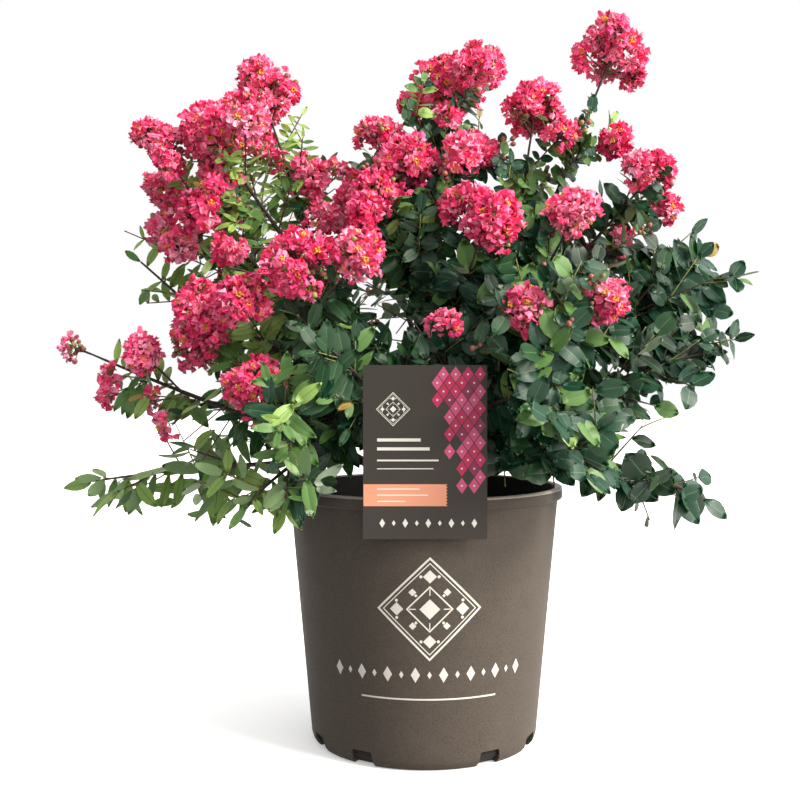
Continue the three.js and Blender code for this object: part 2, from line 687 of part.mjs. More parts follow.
shoots.forEach((shoot) => {
  const material = shoot.blooms ? materials.blossom : materials.foliage;
  pieces.set("mass_" + shoot.name, [makeMass(shoot), material]);
});

// ---------------------------------------------------------------- the assembly

const plant = new THREE.Group();
for (const [name, [solid, material]] of pieces) {
  const mesh = new THREE.Mesh(geometryOf(solid), material);
  mesh.name = name;
  plant.add(mesh);
}

export default plant;
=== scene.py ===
# %% [markdown]
# # A dwarf crape myrtle in full flower, in its nursery pot
# The plant is a low shrub of many thin stems. It stands in a round moulded pot, with a printed card hung on
# the rim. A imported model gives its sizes, and it is loaded first and never moved: every piece below is made
# around it, from the same named lengths and the same seeded rule of growth.
# Lengths are written in millimetres, as a nursery would measure them. One number, MM, turns them into
# Blender's metres at the moment a mesh is made.

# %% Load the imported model
import math
from bisect import bisect_left

import bmesh
import bpy
import numpy as np
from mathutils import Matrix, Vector
from mathutils.bvhtree import BVHTree


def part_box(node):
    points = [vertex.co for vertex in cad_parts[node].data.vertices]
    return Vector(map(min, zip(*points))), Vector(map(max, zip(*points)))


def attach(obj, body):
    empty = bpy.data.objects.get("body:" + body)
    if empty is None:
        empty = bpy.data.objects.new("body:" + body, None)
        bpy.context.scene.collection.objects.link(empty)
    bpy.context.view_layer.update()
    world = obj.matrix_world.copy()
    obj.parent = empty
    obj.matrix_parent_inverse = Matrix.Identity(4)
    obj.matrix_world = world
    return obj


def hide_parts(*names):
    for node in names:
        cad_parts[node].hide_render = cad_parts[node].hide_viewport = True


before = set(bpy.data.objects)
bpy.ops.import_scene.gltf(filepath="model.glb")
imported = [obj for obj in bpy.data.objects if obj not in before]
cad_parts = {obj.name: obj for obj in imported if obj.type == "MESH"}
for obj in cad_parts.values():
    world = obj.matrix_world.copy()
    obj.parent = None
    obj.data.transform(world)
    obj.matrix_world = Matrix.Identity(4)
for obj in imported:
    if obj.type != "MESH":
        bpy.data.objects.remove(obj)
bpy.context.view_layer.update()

MM = 0.001
UP = Vector((0, 0, 1))
TURN = 2 * math.pi

# %% [markdown]
# ## Camera
# A product picture is taken from about a metre away with the camera held level, so that upright edges stay
# upright. To show more below the lens than above it without tipping the camera, the picture plane is shifted
# a little, as a view camera does. The lens is set from its focal length in picture widths.

# %% Place the camera
CAMERA_AT = (-21.1, -1014.5, 320.5)
FOCAL_WIDTHS = 1.4265  # focal length, in widths of the picture
HORIZON_SHIFT = -0.0333  # how far the horizon lies from the middle, in widths of the picture

lens = bpy.data.cameras.new("view_camera")
lens.lens = FOCAL_WIDTHS * lens.sensor_width
lens.shift_y = HORIZON_SHIFT
lens.clip_start = 0.05
camera = bpy.data.objects.new("view_camera", lens)
camera.location = [MM * at for at in CAMERA_AT]
camera.rotation_euler = (math.pi / 2, 0, 0)
bpy.context.scene.collection.objects.link(camera)
bpy.context.scene.camera = camera
print("lens", round(lens.lens, 1), "mm")

# %% [markdown]
# ## Colours and nodes
# Colours are picked on a screen, so they are written as sRGB hex values. Shaders work in linear light, and
# one function does that change. Another adds a node with its settings and its links, which keeps each
# material below to a few readable lines.

# %% Helpers for colours and nodes
def colour(hex_value):
    """An sRGB hex value as linear red, green, blue and alpha."""
    parts = [int(hex_value[i : i + 2], 16) / 255 for i in (1, 3, 5)]
    return [p / 12.92 if p <= 0.04045 else ((p + 0.055) / 1.055) ** 2.4 for p in parts] + [1]


def add_node(tree, kind, values=(), links=(), **options):
    """Adds a shader node, sets its options and the values of its inputs, and links sockets into it."""
    node = tree.nodes.new("ShaderNode" + kind)
    for option, value in options.items():
        setattr(node, option, value)
    for socket, value in dict(values).items():
        node.inputs[socket].default_value = value
    for socket, source in dict(links).items():
        tree.links.new(source, node.inputs[socket])
    return node


def per_mm(size):
    """The scale that gives a texture features of this size, in millimetres."""
    return 1 / (size * MM)


print("white is", colour("#ffffff")[:3])

# %% [markdown]
# ## How a material is built
# Each material starts from one colour, its roughness, and its index of refraction, which says how strongly
# it mirrors. A pattern with a real size in millimetres then varies it in one of three ways: between two
# tones, between two glosses, or as a bump that raises the skin. Many materials here need only a fine grain.

# %% Helpers for materials
def start_material(name, base, roughness, ior, more=()):
    """A material and its nodes, with constant values on the shader's own sockets."""
    material = bpy.data.materials.new(name)
    material.use_nodes = True
    values = {"Base Color": colour(base), "Roughness": roughness, "IOR": ior, **dict(more)}
    for socket, value in values.items():
        material.node_tree.nodes["Principled BSDF"].inputs[socket].default_value = value
    material.diffuse_color = colour(base)
    return material, material.node_tree


def vary(tree, pattern, tones=(), gloss=(), bump=()):
    """Lets a pattern change the colour between tones, the roughness, or the relief: strength and mm."""
    shader = tree.nodes["Principled BSDF"]
    if tones:
        ramp = add_node(tree, "ValToRGB", {}, {"Fac": pattern})
        for stop, (position, tone) in zip(ramp.color_ramp.elements, tones):
            stop.position, stop.color = position, colour(tone)
        tree.links.new(ramp.outputs[0], shader.inputs["Base Color"])
    if gloss:
        spread = add_node(tree, "MapRange", {"To Min": gloss[0], "To Max": gloss[1]}, {"Value": pattern})
        tree.links.new(spread.outputs[0], shader.inputs["Roughness"])
    if bump:
        values = {"Strength": bump[0], "Distance": bump[1] * MM}
        relief = add_node(tree, "Bump", values, {"Height": pattern})
        tree.links.new(relief.outputs[0], shader.inputs["Normal"])


def grained(name, base, roughness, ior, size, detail, bump, more=()):
    """A material of one colour, whose skin has a fine grain of this size in millimetres."""
    material, tree = start_material(name, base, roughness, ior, more)
    grain = add_node(tree, "TexNoise", {"Scale": per_mm(size), "Detail": detail})
    vary(tree, grain.outputs[0], bump=bump)
    return material


print("a grain of 2 mm has scale", per_mm(2))

# %% [markdown]
# ## Floor and light
# The studio is plain: a pale floor that runs into a white surround. Two very broad sun-like lamps stand on
# the right, one high and one low, as large soft boxes would, and draw soft shadows. The surround also lights
# the plant, more from above and from the right than from below and the left, which gives the leaves their
# shade. To the camera it is plain white all round. The picture keeps plain sRGB colours, because a film
# curve would wash out the raspberry pink.

# %% Make the lights
# Each lamp: the way to it, the watts on each square metre that faces it, and how many degrees across it is.
LAMPS = {"key_light": ((1.0, -0.6, 1.0), 4.0, 20), "side_light": ((1.0, -0.4, 0.15), 3.0, 30)}
# The surround along up (2) and right (0): two directions on that axis, and the strength from each.
GLOWS = {2: (-0.3, 0.35, 0.26, 1.2), 0: (-1.0, 1.0, 0.35, 1.6)}
for name, (toward, strength, softness) in LAMPS.items():
    lamp = bpy.data.lights.new(name, "SUN")
    lamp.energy = strength
    lamp.angle = math.radians(softness)
    lamp.color = colour("#fff8ee")[:3]
    holder = bpy.data.objects.new(name, lamp)
    holder.rotation_euler = Vector(toward).to_track_quat("Z", "Y").to_euler()
    bpy.context.scene.collection.objects.link(holder)

surround = bpy.data.worlds.new("white_surround")
surround.use_nodes = True
sky_tree = surround.node_tree
ways = add_node(sky_tree, "TexCoord")
axes = add_node(sky_tree, "SeparateXYZ", {}, {0: ways.outputs["Generated"]})
glows = []
for axis, strengths in GLOWS.items():
    values = dict(zip(("From Min", "From Max", "To Min", "To Max"), strengths))
    glows.append(add_node(sky_tree, "MapRange", values, {"Value": axes.outputs[axis]}).outputs[0])
glow = add_node(sky_tree, "Math", {}, dict(enumerate(glows)), operation="MULTIPLY")
rays = add_node(sky_tree, "LightPath")
seen = add_node(sky_tree, "Mix", {3: 1.0}, {0: rays.outputs["Is Camera Ray"], 2: glow.outputs[0]})
sky_tree.links.new(seen.outputs[0], sky_tree.nodes["Background"].inputs["Strength"])
sky_tree.nodes["Background"].inputs["Color"].default_value = colour("#ffffff")
bpy.context.scene.world = surround
bpy.context.scene.view_settings.view_transform = "Standard"
bpy.context.scene.view_settings.look = "None"
print(len(LAMPS), "lamps")

# %% Make the floor
# Matt paper on a lit table: nearly white, and its own faint glow keeps the shadows light.
FLOOR_REACH = 9.0  # metres from the middle to each side
PAPER_GLOW = {"Emission Color": colour("#ffffff"), "Emission Strength": 0.3}
matt_paper = grained("matt_floor_paper", "#fbfaf8", 0.9, 1.5, 3, 2, (0.05, 0.2), PAPER_GLOW)
floor_mesh = bpy.data.meshes.new("floor")
corners = [(x * FLOOR_REACH, y * FLOOR_REACH, 0) for x, y in ((-1, -1), (1, -1), (1, 1), (-1, 1))]
floor_mesh.from_pydata(corners, [], [(0, 1, 2, 3)])
floor_mesh.materials.append(matt_paper)
floor = bpy.data.objects.new("floor", floor_mesh)
floor.visible_diffuse = False  # a white floor would throw as much light up as falls from above
bpy.context.scene.collection.objects.link(floor)
print("the floor is", 2 * FLOOR_REACH, "m across")

# %% [markdown]
# ## From points to pieces
# A plant is thousands of small things: leaves, petals, buds and lengths of twig. An object for each would
# be slow, so points and triangles are gathered in arrays, and one mesh is made of each kind. A gatherer
# holds such arrays. Each piece then rides on the plant's one body.

# %% Helpers for gathered meshes
class Gathered:
    """Points, triangles and the material of each triangle, collected for one piece."""

    def __init__(self):
        self.points, self.triangles, self.kinds, self.count = [], [], [], 0

    def add(self, points, triangles, kind=0):
        """Adds one set of points and triangles. kind is one material index or one for each triangle."""
        points = np.asarray(points, float).reshape(-1, 3)
        triangles = np.asarray(triangles, int).reshape(-1, 3)
        self.points.append(points)
        self.triangles.append(triangles + self.count)
        self.kinds.append(np.broadcast_to(kind, len(triangles)))
        self.count += len(points)

    def add_copies(self, shapes, triangles, kinds):
        """Adds many copies of one set of triangles: shapes is copies x points x 3."""
        copies, size = shapes.shape[:2]
        every = triangles[None] + (np.arange(copies) * size)[:, None, None]
        each = kinds[:, None] + np.zeros(len(triangles), int) if kinds.ndim == 1 else kinds
        self.add(shapes.reshape(-1, 3), every.reshape(-1, 3), each.ravel())


def show_mesh(name, mesh, replaced=()):
    """Puts a mesh in the scene, riding on the body, and hides the nodes that it stands for."""
    piece = bpy.data.objects.new(name, mesh)
    bpy.context.scene.collection.objects.link(piece)
    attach(piece, "root")
    if replaced:
        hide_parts(*replaced)
    print(name, sum(len(face.vertices) - 2 for face in mesh.polygons), "triangles")
    return piece


def make_piece(name, gathered, materials, replaced=(), smooth=True):
    """One piece from gathered arrays."""
    points = np.concatenate(gathered.points) * MM
    triangles = np.concatenate(gathered.triangles)
    mesh = bpy.data.meshes.new(name)
    mesh.vertices.add(len(points))
    mesh.vertices.foreach_set("co", points.ravel().astype(np.float32))
    mesh.loops.add(triangles.size)
    mesh.loops.foreach_set("vertex_index", triangles.ravel().astype(np.int32))
    mesh.polygons.add(len(triangles))
    mesh.polygons.foreach_set("loop_start", np.arange(0, triangles.size, 3, dtype=np.int32))
    mesh.polygons.foreach_set("material_index", np.concatenate(gathered.kinds).astype(np.int32))
    mesh.polygons.foreach_set("use_smooth", np.full(len(triangles), smooth))
    for material in materials:
        mesh.materials.append(material)
    mesh.update(calc_edges=True)
    mesh.validate()
    return show_mesh(name, mesh, replaced)


print("ready to gather")

# %% [markdown]
# ## Rings, turned forms and slabs
# Three simple forms make almost everything here. Rings of points joined in order give a tube or a petal's
# blade. A profile turned about the upright axis gives the pot. A flat outline carried between two depths
# gives a slab. Blender has modifiers for these, but arrays keep the points' order known.

# %% Helpers for simple forms
def ring_triangles(rings, sides, closed=True):
    """Triangles that join rings of points. The points go ring by ring."""
    across = sides if closed else sides - 1
    ring, side = np.meshgrid(np.arange(rings - 1), np.arange(across), indexing="ij")
    a = ring * sides + side
    b = ring * sides + (side + 1) % sides
    quads = np.stack([a, b, b + sides, a + sides], -1).reshape(-1, 4)
    return np.concatenate([quads[:, [0, 1, 2]], quads[:, [0, 2, 3]]])


def fan_triangles(start, centre, sides, flip=False):
    """A fan from one centre point to a ring that starts at a point number."""
    ring = np.arange(sides)
    fan = np.stack([start + ring, start + (ring + 1) % sides, np.full(sides, centre)], -1)
    return fan[:, ::-1] if flip else fan


def arc(centre, radius, first, last, steps=5):
    """Points on part of a circle, for a rounded edge. Angles are in degrees."""
    angles = [math.radians(first + (last - first) * i / steps) for i in range(steps + 1)]
    return [(centre[0] + radius * math.cos(a), centre[1] + radius * math.sin(a)) for a in angles]


def turned_points(profile, sides):
    """Points of a profile of (radius, height) pairs, turned about the upright axis."""
    angles = np.arange(sides) * TURN / sides
    radii, heights = np.array(profile).T
    x, y = np.outer(radii, np.cos(angles)), np.outer(radii, np.sin(angles))
    return np.stack([x, y, np.broadcast_to(heights[:, None], x.shape)], -1).reshape(-1, 3)


def turned_solid(profile, sides, end_heights):
    """A turned profile closed by a fan at each end, with the heights of the fans' middles."""
    points = turned_points(profile, sides)
    count = len(points)
    triangles = np.concatenate([
        ring_triangles(len(profile), sides),
        fan_triangles(0, count, sides, flip=True),
        fan_triangles(count - sides, count + 1, sides),
    ])
    return np.concatenate([points, [[0, 0, height] for height in end_heights]]), triangles


def slab(mesh, outline, wrap, near, far):
    """A slab from a flat outline, between two depths, placed by wrap(x, y, depth)."""
    faces = [
        [mesh.verts.new([MM * c for c in wrap(x, y, depth)]) for x, y in outline]
        for depth in (near, far)
    ]
    mesh.faces.new(faces[0])
    mesh.faces.new(faces[1][::-1])
    for i in range(len(outline)):
        j = (i + 1) % len(outline)
        mesh.faces.new((faces[0][j], faces[0][i], faces[1][i], faces[1][j]))


def finished_mesh(name, mesh):
    """A mesh made of bmesh faces, all of them facing out."""
    bmesh.ops.recalc_face_normals(mesh, faces=mesh.faces)
    data = bpy.data.meshes.new(name)
    mesh.to_mesh(data)
    return data


print("a tube of 5 rings and 6 sides has", len(ring_triangles(5, 6)), "triangles")

# %% [markdown]
# ## The pot
# Nursery pots of this kind are injection moulded from polypropylene, tapered so that they stack and draw
# off the mould. A turned profile gives the wall, the stepped rim with its soft lip, the rounded heel and
# the floor. The lip is painted pale, as a painted highlight along the rim, and the inside of the wall is
# painted nearly black, as painted shade in the pot, so these two bands have materials of their own.

# %% Measure and turn the pot
POT_HEIGHT = 222.0
RIM_RADIUS = 122.0
RIM_BAND = 10.0
RIM_STEP = 4.0
LIP_ROUND = 1.6
LIP_HEIGHT = 1.8  # of the edge that is painted pale, as a painted highlight
EDGE_ROUND = 1.2  # of the lip's inner edge and the step under the band
FOOT_RADIUS = 94.5
FOOT_ROUND = 4.0
HEEL_RADIUS = 99.0
HEEL_RISE = 8.0
POT_WALL = 2.4
POT_FLOOR = 3.0
FLOOR_RING = 30.0  # a ring on the floor that keeps its triangles short
# Above this height the inside of the wall is painted dark, as painted shade.
INNER_SHADE_ABOVE = 100.0
POT_SIDES = 160
BAND_BOTTOM = POT_HEIGHT - RIM_BAND
WALL_TOP = RIM_RADIUS - RIM_STEP


def wall_radius(height):
    """Outer radius of the pot's wall at a height above its heel."""
    return HEEL_RADIUS + (WALL_TOP - HEEL_RADIUS) * (height - HEEL_RISE) / (BAND_BOTTOM - HEEL_RISE)


inside_top = wall_radius(BAND_BOTTOM) - POT_WALL
pot_profile = [(FLOOR_RING, 0), (2 * FLOOR_RING, 0)]
pot_profile += arc((FOOT_RADIUS - 2, FOOT_ROUND), FOOT_ROUND, -90, -48, 3)
pot_profile += [(HEEL_RADIUS - 1.2, 4.2), (HEEL_RADIUS, HEEL_RISE)]
pot_profile += [(wall_radius(h), h) for h in (20, 60, 110, 160, 200)]
pot_profile += [(WALL_TOP, BAND_BOTTOM - 0.8), (WALL_TOP + EDGE_ROUND, BAND_BOTTOM)]
pot_profile += arc((RIM_RADIUS - 1, BAND_BOTTOM + EDGE_ROUND), 1, -80, 0, 3)
pot_profile += arc((RIM_RADIUS - LIP_ROUND, POT_HEIGHT - LIP_ROUND), LIP_ROUND, 0, 90)
pot_profile += arc((inside_top + EDGE_ROUND, POT_HEIGHT - EDGE_ROUND), EDGE_ROUND, 90, 180, 4)
pot_profile += [(inside_top, BAND_BOTTOM)] + [(wall_radius(h) - POT_WALL, h) for h in (110, HEEL_RISE)]
pot_profile += [(FOOT_RADIUS - 1, POT_FLOOR), (FLOOR_RING, POT_FLOOR)]

pot_points, pot_faces = turned_solid(pot_profile, POT_SIDES, (0, POT_FLOOR))
pot_reach, pot_level = np.hypot(pot_points[:, 0], pot_points[:, 1]), pot_points[:, 2]
# Faces on the lip get the painted highlight.
on_lip = pot_level > POT_HEIGHT - LIP_HEIGHT
# Faces inside the wall above that height get the painted shade.
inside = (pot_reach < wall_radius(pot_level) - POT_WALL / 2) & (pot_level > INNER_SHADE_ABOVE)
pot_shape = Gathered()
pot_shape.add(pot_points, pot_faces, np.where(on_lip[pot_faces].all(1), 1, 2 * inside[pot_faces].all(1)))
taper = math.atan((WALL_TOP - HEEL_RADIUS) / (BAND_BOTTOM - HEEL_RISE))
print("the pot's wall leans", round(math.degrees(taper), 1), "degrees")

# %% [markdown]
# Polypropylene is coloured in the melt. The eye sees an even taupe with a faint mottle, a satin gloss, and
# the fine orange peel that the sparked steel of the mould leaves. Noise gives all three, each at its own
# size: specks, slow clouds and peel.

# %% Mix the pot's plastic
PLASTIC_IOR = 1.49
DULL = {"Specular IOR Level": 0.2}  # the weathered skin mirrors less than fresh plastic
polypropylene, pp_tree = start_material("moulded_polypropylene", "#544b42", 0.5, PLASTIC_IOR, DULL)
speckle = add_node(pp_tree, "TexNoise", {"Scale": per_mm(2.8), "Detail": 3, "Roughness": 0.8})
clouding = add_node(pp_tree, "TexNoise", {"Scale": per_mm(70), "Detail": 2})
mottle = add_node(pp_tree, "Mix", {0: 0.1}, {2: speckle.outputs[0], 3: clouding.outputs[0]})
peel = add_node(pp_tree, "TexNoise", {"Scale": per_mm(1.6), "Detail": 2})
vary(pp_tree, mottle.outputs[0], tones=((0.38, "#3a332d"), (0.62, "#5d544c")))
vary(pp_tree, clouding.outputs[0], gloss=(0.6, 0.76))
vary(pp_tree, peel.outputs[0], bump=(0.35, 0.15))

# The same plastic painted pale along the lip, as a painted highlight, and patchily shiny.
lip_painted_highlight, lip_tree = start_material("pot_lip_painted_highlight", "#a19789", 0.35, PLASTIC_IOR)
scuffs = add_node(lip_tree, "TexNoise", {"Scale": per_mm(4), "Detail": 4, "Roughness": 0.7})
vary(lip_tree, scuffs.outputs[0], gloss=(0.25, 0.6))

# The same plastic painted nearly black, as painted shade inside the pot, and matt in patches.
inner_wall_painted_shade, inner_shade_tree = start_material("pot_inside_painted_shade", "#1c1714", 0.8, PLASTIC_IOR)
dull_patches = add_node(inner_shade_tree, "TexNoise", {"Scale": per_mm(9), "Detail": 4})
vary(inner_shade_tree, dull_patches.outputs[0], gloss=(0.6, 0.95))

pot = make_piece("nursery_pot", pot_shape, [polypropylene, lip_painted_highlight, inner_wall_painted_shade], ["pot"])

# %% [markdown]
# The drain notches are cut through heel and floor with a Boolean, as the mould's cores do. They sit in
# mirrored pairs, near the front and near the back. Each cutter is a block with its top corners rounded,
# because a core with sharp corners would tear the warm plastic.

# %% Cut the drain notches
DRAIN_WIDTH = 19.0
DRAIN_HEIGHT = 13.0
DRAIN_DEPTH = 16.0
DRAIN_TURNS = (32, 65)  # degrees from the front
DRAIN_CORNER = 2.0
DRAIN_FLARE = 1.5  # how much wider each side of a core is at its foot
CUT_PAST = 4.0  # how far a core stands out of the heel
SHARP_EDGE = 32.0  # degrees

half_drain = DRAIN_WIDTH / 2
drain_outline = [(-half_drain - DRAIN_FLARE, -5), (half_drain + DRAIN_FLARE, -5)]
drain_outline += arc((half_drain - DRAIN_CORNER, DRAIN_HEIGHT - DRAIN_CORNER), DRAIN_CORNER, 0, 90, 4)
drain_outline += arc((DRAIN_CORNER - half_drain, DRAIN_HEIGHT - DRAIN_CORNER), DRAIN_CORNER, 90, 180, 4)


def turned_from_front(degrees):
    """Places a point across, up and outward, at a turn from the front."""
    turn = math.radians(degrees - 90)
    ahead, aside = math.cos(turn), math.sin(turn)
    return lambda across, up, out: (out * ahead - across * aside, out * aside + across * ahead, up)


cores = bmesh.new()
for turn in DRAIN_TURNS:
    for degrees in (turn, -turn, 180 - turn, turn - 180):
        front = HEEL_RADIUS + CUT_PAST
        slab(cores, drain_outline, turned_from_front(degrees), front, front - DRAIN_DEPTH)
core_object = bpy.data.objects.new("drain_cores", finished_mesh("drain_cores", cores))
bpy.context.scene.collection.objects.link(core_object)
drains = pot.modifiers.new("drains", "BOOLEAN")
drains.object = core_object
drains.solver = "EXACT"
cut_pot = bpy.data.meshes.new_from_object(pot.evaluated_get(bpy.context.evaluated_depsgraph_get()))
pot.modifiers.clear()
pot.data = cut_pot
bpy.data.objects.remove(core_object)
pot.data.set_sharp_from_angle(angle=math.radians(SHARP_EDGE))
print("the cut pot has", len(pot.data.polygons), "faces")

# %% [markdown]
# ## Flat shapes in ink
# Pot and card carry plain geometric prints: lozenges, dots and lines. An image would be the usual way to
# make a print. Here every shape is a thin sheet of real ink instead, drawn flat and then wrapped on what
# carries it, so that it keeps its crisp edge at any distance.

# %% Draw flat shapes
def strip(path, width, closed=False):
    """A line of ink along a flat path, as quads. Corners are mitred."""
    path = [np.array(p, float) for p in path]
    count = len(path)
    sides = []
    for i, here in enumerate(path):
        before = path[i - 1] if i or closed else here
        after = path[(i + 1) % count] if i < count - 1 or closed else here
        ways = [w / np.linalg.norm(w) for w in (here - before, after - here) if np.linalg.norm(w) > 0]
        normals = [np.array((-w[1], w[0])) for w in ways]
        mitre = sum(normals) / len(normals)
        mitre = mitre / max(np.dot(mitre, normals[0]), 0.3)
        sides.append((here - mitre * width / 2, here + mitre * width / 2))
    pairs = [(i, (i + 1) % count) for i in range(count if closed else count - 1)]
    return [[sides[i][0], sides[j][0], sides[j][1], sides[i][1]] for i, j in pairs]


def fine_path(points, step, closed=False):
    """The same path with points at most a step apart."""
    points = [np.array(p, float) for p in points]
    if closed:
        points = points + [points[0]]
    fine = []
    for a, b in zip(points, points[1:]):
        parts = max(1, math.ceil(np.linalg.norm(b - a) / step))
        fine += [a + (b - a) * k / parts for k in range(parts)]
    return fine if closed else fine + [points[-1]]


def around(x, y, angle, reach):
    """A flat point at an angle and a distance from another."""
    return x + reach * math.cos(angle), y + reach * math.sin(angle)


def dot(x, y, radius, sides=20):
    """A round dot as one face."""
    return [[around(x, y, TURN * k / sides, radius) for k in range(sides)]]


def bar(x0, x1, y, tall):
    """A plain line as one quad."""
    return [[(x0, y - tall / 2), (x1, y - tall / 2), (x1, y + tall / 2), (x0, y + tall / 2)]]


def diamond(x, y, half_width, half_height, parts=4):
    """A filled lozenge, cut into small quads so that it can follow a curved wall."""
    def at(i, j):
        u, v = i * (1 / parts), j * (1 / parts)
        return (x + (u - v) * half_width, y + (u + v - 1) * half_height)

    grid = [(i, j) for i in range(parts) for j in range(parts)]
    return [[at(i, j), at(i + 1, j), at(i + 1, j + 1), at(i, j + 1)] for i, j in grid]


INK_STEP = 3.0  # the longest stretch of a line that stays straight on a curved wall


def medallion(x, y, half):
    """Nested lozenge outlines, with solid diamonds, dots and spokes between them."""
    shapes = []
    for share, width in ((1.0, 0.0392), (0.9, 0.0196), (0.44, 0.028)):
        outline = [around(x, y, TURN * k / 4, half * share) for k in range(4)]
        shapes += strip(fine_path(outline, INK_STEP, True), width * half, True)
    for k in range(4):
        angle = TURN * k / 4
        petal = around(x, y, angle, 0.64 * half)
        shapes += diamond(*petal, 0.13 * half, 0.13 * half)
        for side in (-1, 1):
            shapes += dot(*around(*petal, angle + side * TURN / 4, 0.17 * half), 0.03 * half)
        for reach, size in ((0.47, 0.075), (0.38, 0.035)):
            shapes += diamond(*around(x, y, angle + TURN / 8, reach * half), size * half, size * half)
        spoke = [around(x, y, angle, reach * half) for reach in (0.27, 0.4)]
        shapes += strip(fine_path(spoke, INK_STEP), 0.02 * half)
    return shapes + diamond(x, y, 0.2 * half, 0.2 * half)


print("a medallion has", len(medallion(0, 0, 41)), "small faces")

# %% [markdown]
# A drawing becomes ink when each of its faces is laid on the wall, closed by a second face just under the
# surface, and joined to it round its edges. Faces that share a corner share its point, so that a cut-up
# diamond stays one shape.

# %% Turn a drawing into ink
INK_SUNK = 0.1  # how far the back of the ink lies under the surface that carries it


def inked(name, shapes, wrap, thickness, material):
    """A piece of thin ink: flat faces, mapped by wrap(x, y, lift), closed behind and round their edges."""
    ink = bmesh.new()
    points = {}
    for outline in shapes:
        for lift, step in ((thickness, 1), (-INK_SUNK, -1)):
            corners = []
            for x, y in outline:
                key = (round(x, 3), round(y, 3), lift)
                if key not in points:
                    points[key] = ink.verts.new([MM * c for c in wrap(x, y, lift)])
                corners.append(points[key])
            ink.faces.new(corners[::step])
    keys = {point: key for key, point in points.items()}
    for edge in [edge for edge in ink.edges if edge.is_boundary]:
        a, b = edge.verts
        if keys[a][2] > 0:
            ink.faces.new((a, b, *(points[(*keys[end][:2], -INK_SUNK)] for end in (b, a))))
    mesh = finished_mesh(name, ink)
    mesh.materials.append(material)
    return show_mesh(name, mesh)


print("ink is sunk by", INK_SUNK, "mm")

# %% [markdown]
# ## The print on the pot
# The pot carries a lozenge medallion of nested diamonds and dots, a row of small diamonds, and a thin rule
# under it. Such prints are screened on in one thick, matt, off-white ink, with the faint unevenness that a
# squeegee leaves. The drawing is wrapped round the pot's cone.

# %% Print the pot
MEDALLION_AT = (2.5, 133.5)  # along the wall from the front, and above the floor
MEDALLION_HALF = 41.0
ROW_HEIGHT = 80.0
ROW_HALF = 82.0
ROW_COUNT = 15
ROW_TALL = (6.2, 3.0)  # half the height of a large and of a small diamond
RULE_HEIGHT = 60.0
RULE_HALF = 60.0
RULE_WIDTH = 1.3
FLAT_AT = 120.0  # the height at which the flat drawing is as wide as on the wall


def wrap_on_pot(x, y, lift):
    """From a flat drawing to the pot's wall: x runs round it from the front, y is the height."""
    radius = wall_radius(y)
    angle = x / wall_radius(FLAT_AT) - math.pi / 2
    return ((radius + lift) * math.cos(angle), (radius + lift) * math.sin(angle), y)


print_middle = MEDALLION_AT[0]
pot_print = medallion(*MEDALLION_AT, MEDALLION_HALF)
for k in range(ROW_COUNT):
    tall = ROW_TALL[k % 2]
    across = print_middle + ROW_HALF * (2 * k / (ROW_COUNT - 1) - 1)
    pot_print += diamond(across, ROW_HEIGHT, 0.62 * tall, tall)
rule = [(print_middle + side * RULE_HALF, RULE_HEIGHT) for side in (-1, 1)]
pot_print += strip(fine_path(rule, INK_STEP), RULE_WIDTH)
screen_ink = grained("screen_printed_ink", "#dcd8ce", 0.55, 1.5, 0.9, 2, (0.2, 0.05))
inked("pot_print", pot_print, wrap_on_pot, 0.18, screen_ink)

# %% [markdown]
# ## The card
# The plant's card is stiff laminated board with a moulded hook behind it that grips the rim. Its print is a
# dark taupe under a satin film, with a trace of paper fibre showing through. The card is one slab with
# rounded corners, and the hook is a bent strip, which is a slab too, seen from its side.

# %% Make the card and its hook
CARD_WIDTH = 97.0
CARD_HEIGHT = 136.0
CARD_THICK = 1.0
CARD_CORNER = 1.0
CARD_BOTTOM = 191.0
CARD_MIDDLE = -1.5
CARD_BACK = -(RIM_RADIUS + 0.3)
CARD_FRONT = CARD_BACK - CARD_THICK
HOOK_WIDTH = 30.0
HOOK_DROP = 12.0
HOOK_ABOVE = 3.0

card_low, card_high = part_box("label")
card_left, card_right = CARD_MIDDLE - CARD_WIDTH / 2, CARD_MIDDLE + CARD_WIDTH / 2
card_top = CARD_BOTTOM + CARD_HEIGHT
inner_x = (card_left + CARD_CORNER, card_right - CARD_CORNER)
inner_y = (CARD_BOTTOM + CARD_CORNER, card_top - CARD_CORNER)
card_outline = []
for quarter, (i, j) in enumerate(((1, 1), (0, 1), (0, 0), (1, 0))):
    card_outline += arc((inner_x[i], inner_y[j]), CARD_CORNER, 90 * quarter, 90 * quarter + 90, 3)

# The hook's side, as places back and up: over the rim, round a soft bend, and down inside the pot.
hook_back = card_high.y / MM
bridge = POT_HEIGHT + HOOK_ABOVE
hook_low = POT_HEIGHT - HOOK_DROP + CARD_THICK / 2
under, over = bridge - CARD_THICK / 2, bridge + CARD_THICK / 2
hook_line = [
    (CARD_BACK - 0.2, under), (hook_back - 2, under), (hook_back - 0.9, bridge - 1.1),
    (hook_back - CARD_THICK, bridge - 2.5), (hook_back - CARD_THICK, hook_low), (hook_back, hook_low),
    (hook_back, bridge - 2), (hook_back - 0.3, bridge - 0.2), (hook_back - 1.6, over),
    (CARD_BACK - 0.2, over),
]
card_mesh = bmesh.new()
slab(card_mesh, card_outline, lambda x, y, depth: (x, depth, y), CARD_FRONT, CARD_BACK)
hook_sides = [CARD_MIDDLE + side * HOOK_WIDTH / 2 for side in (-1, 1)]
slab(card_mesh, hook_line, lambda back, up, across: (across, back, up), *hook_sides)
card_data = finished_mesh("plant_card", card_mesh)

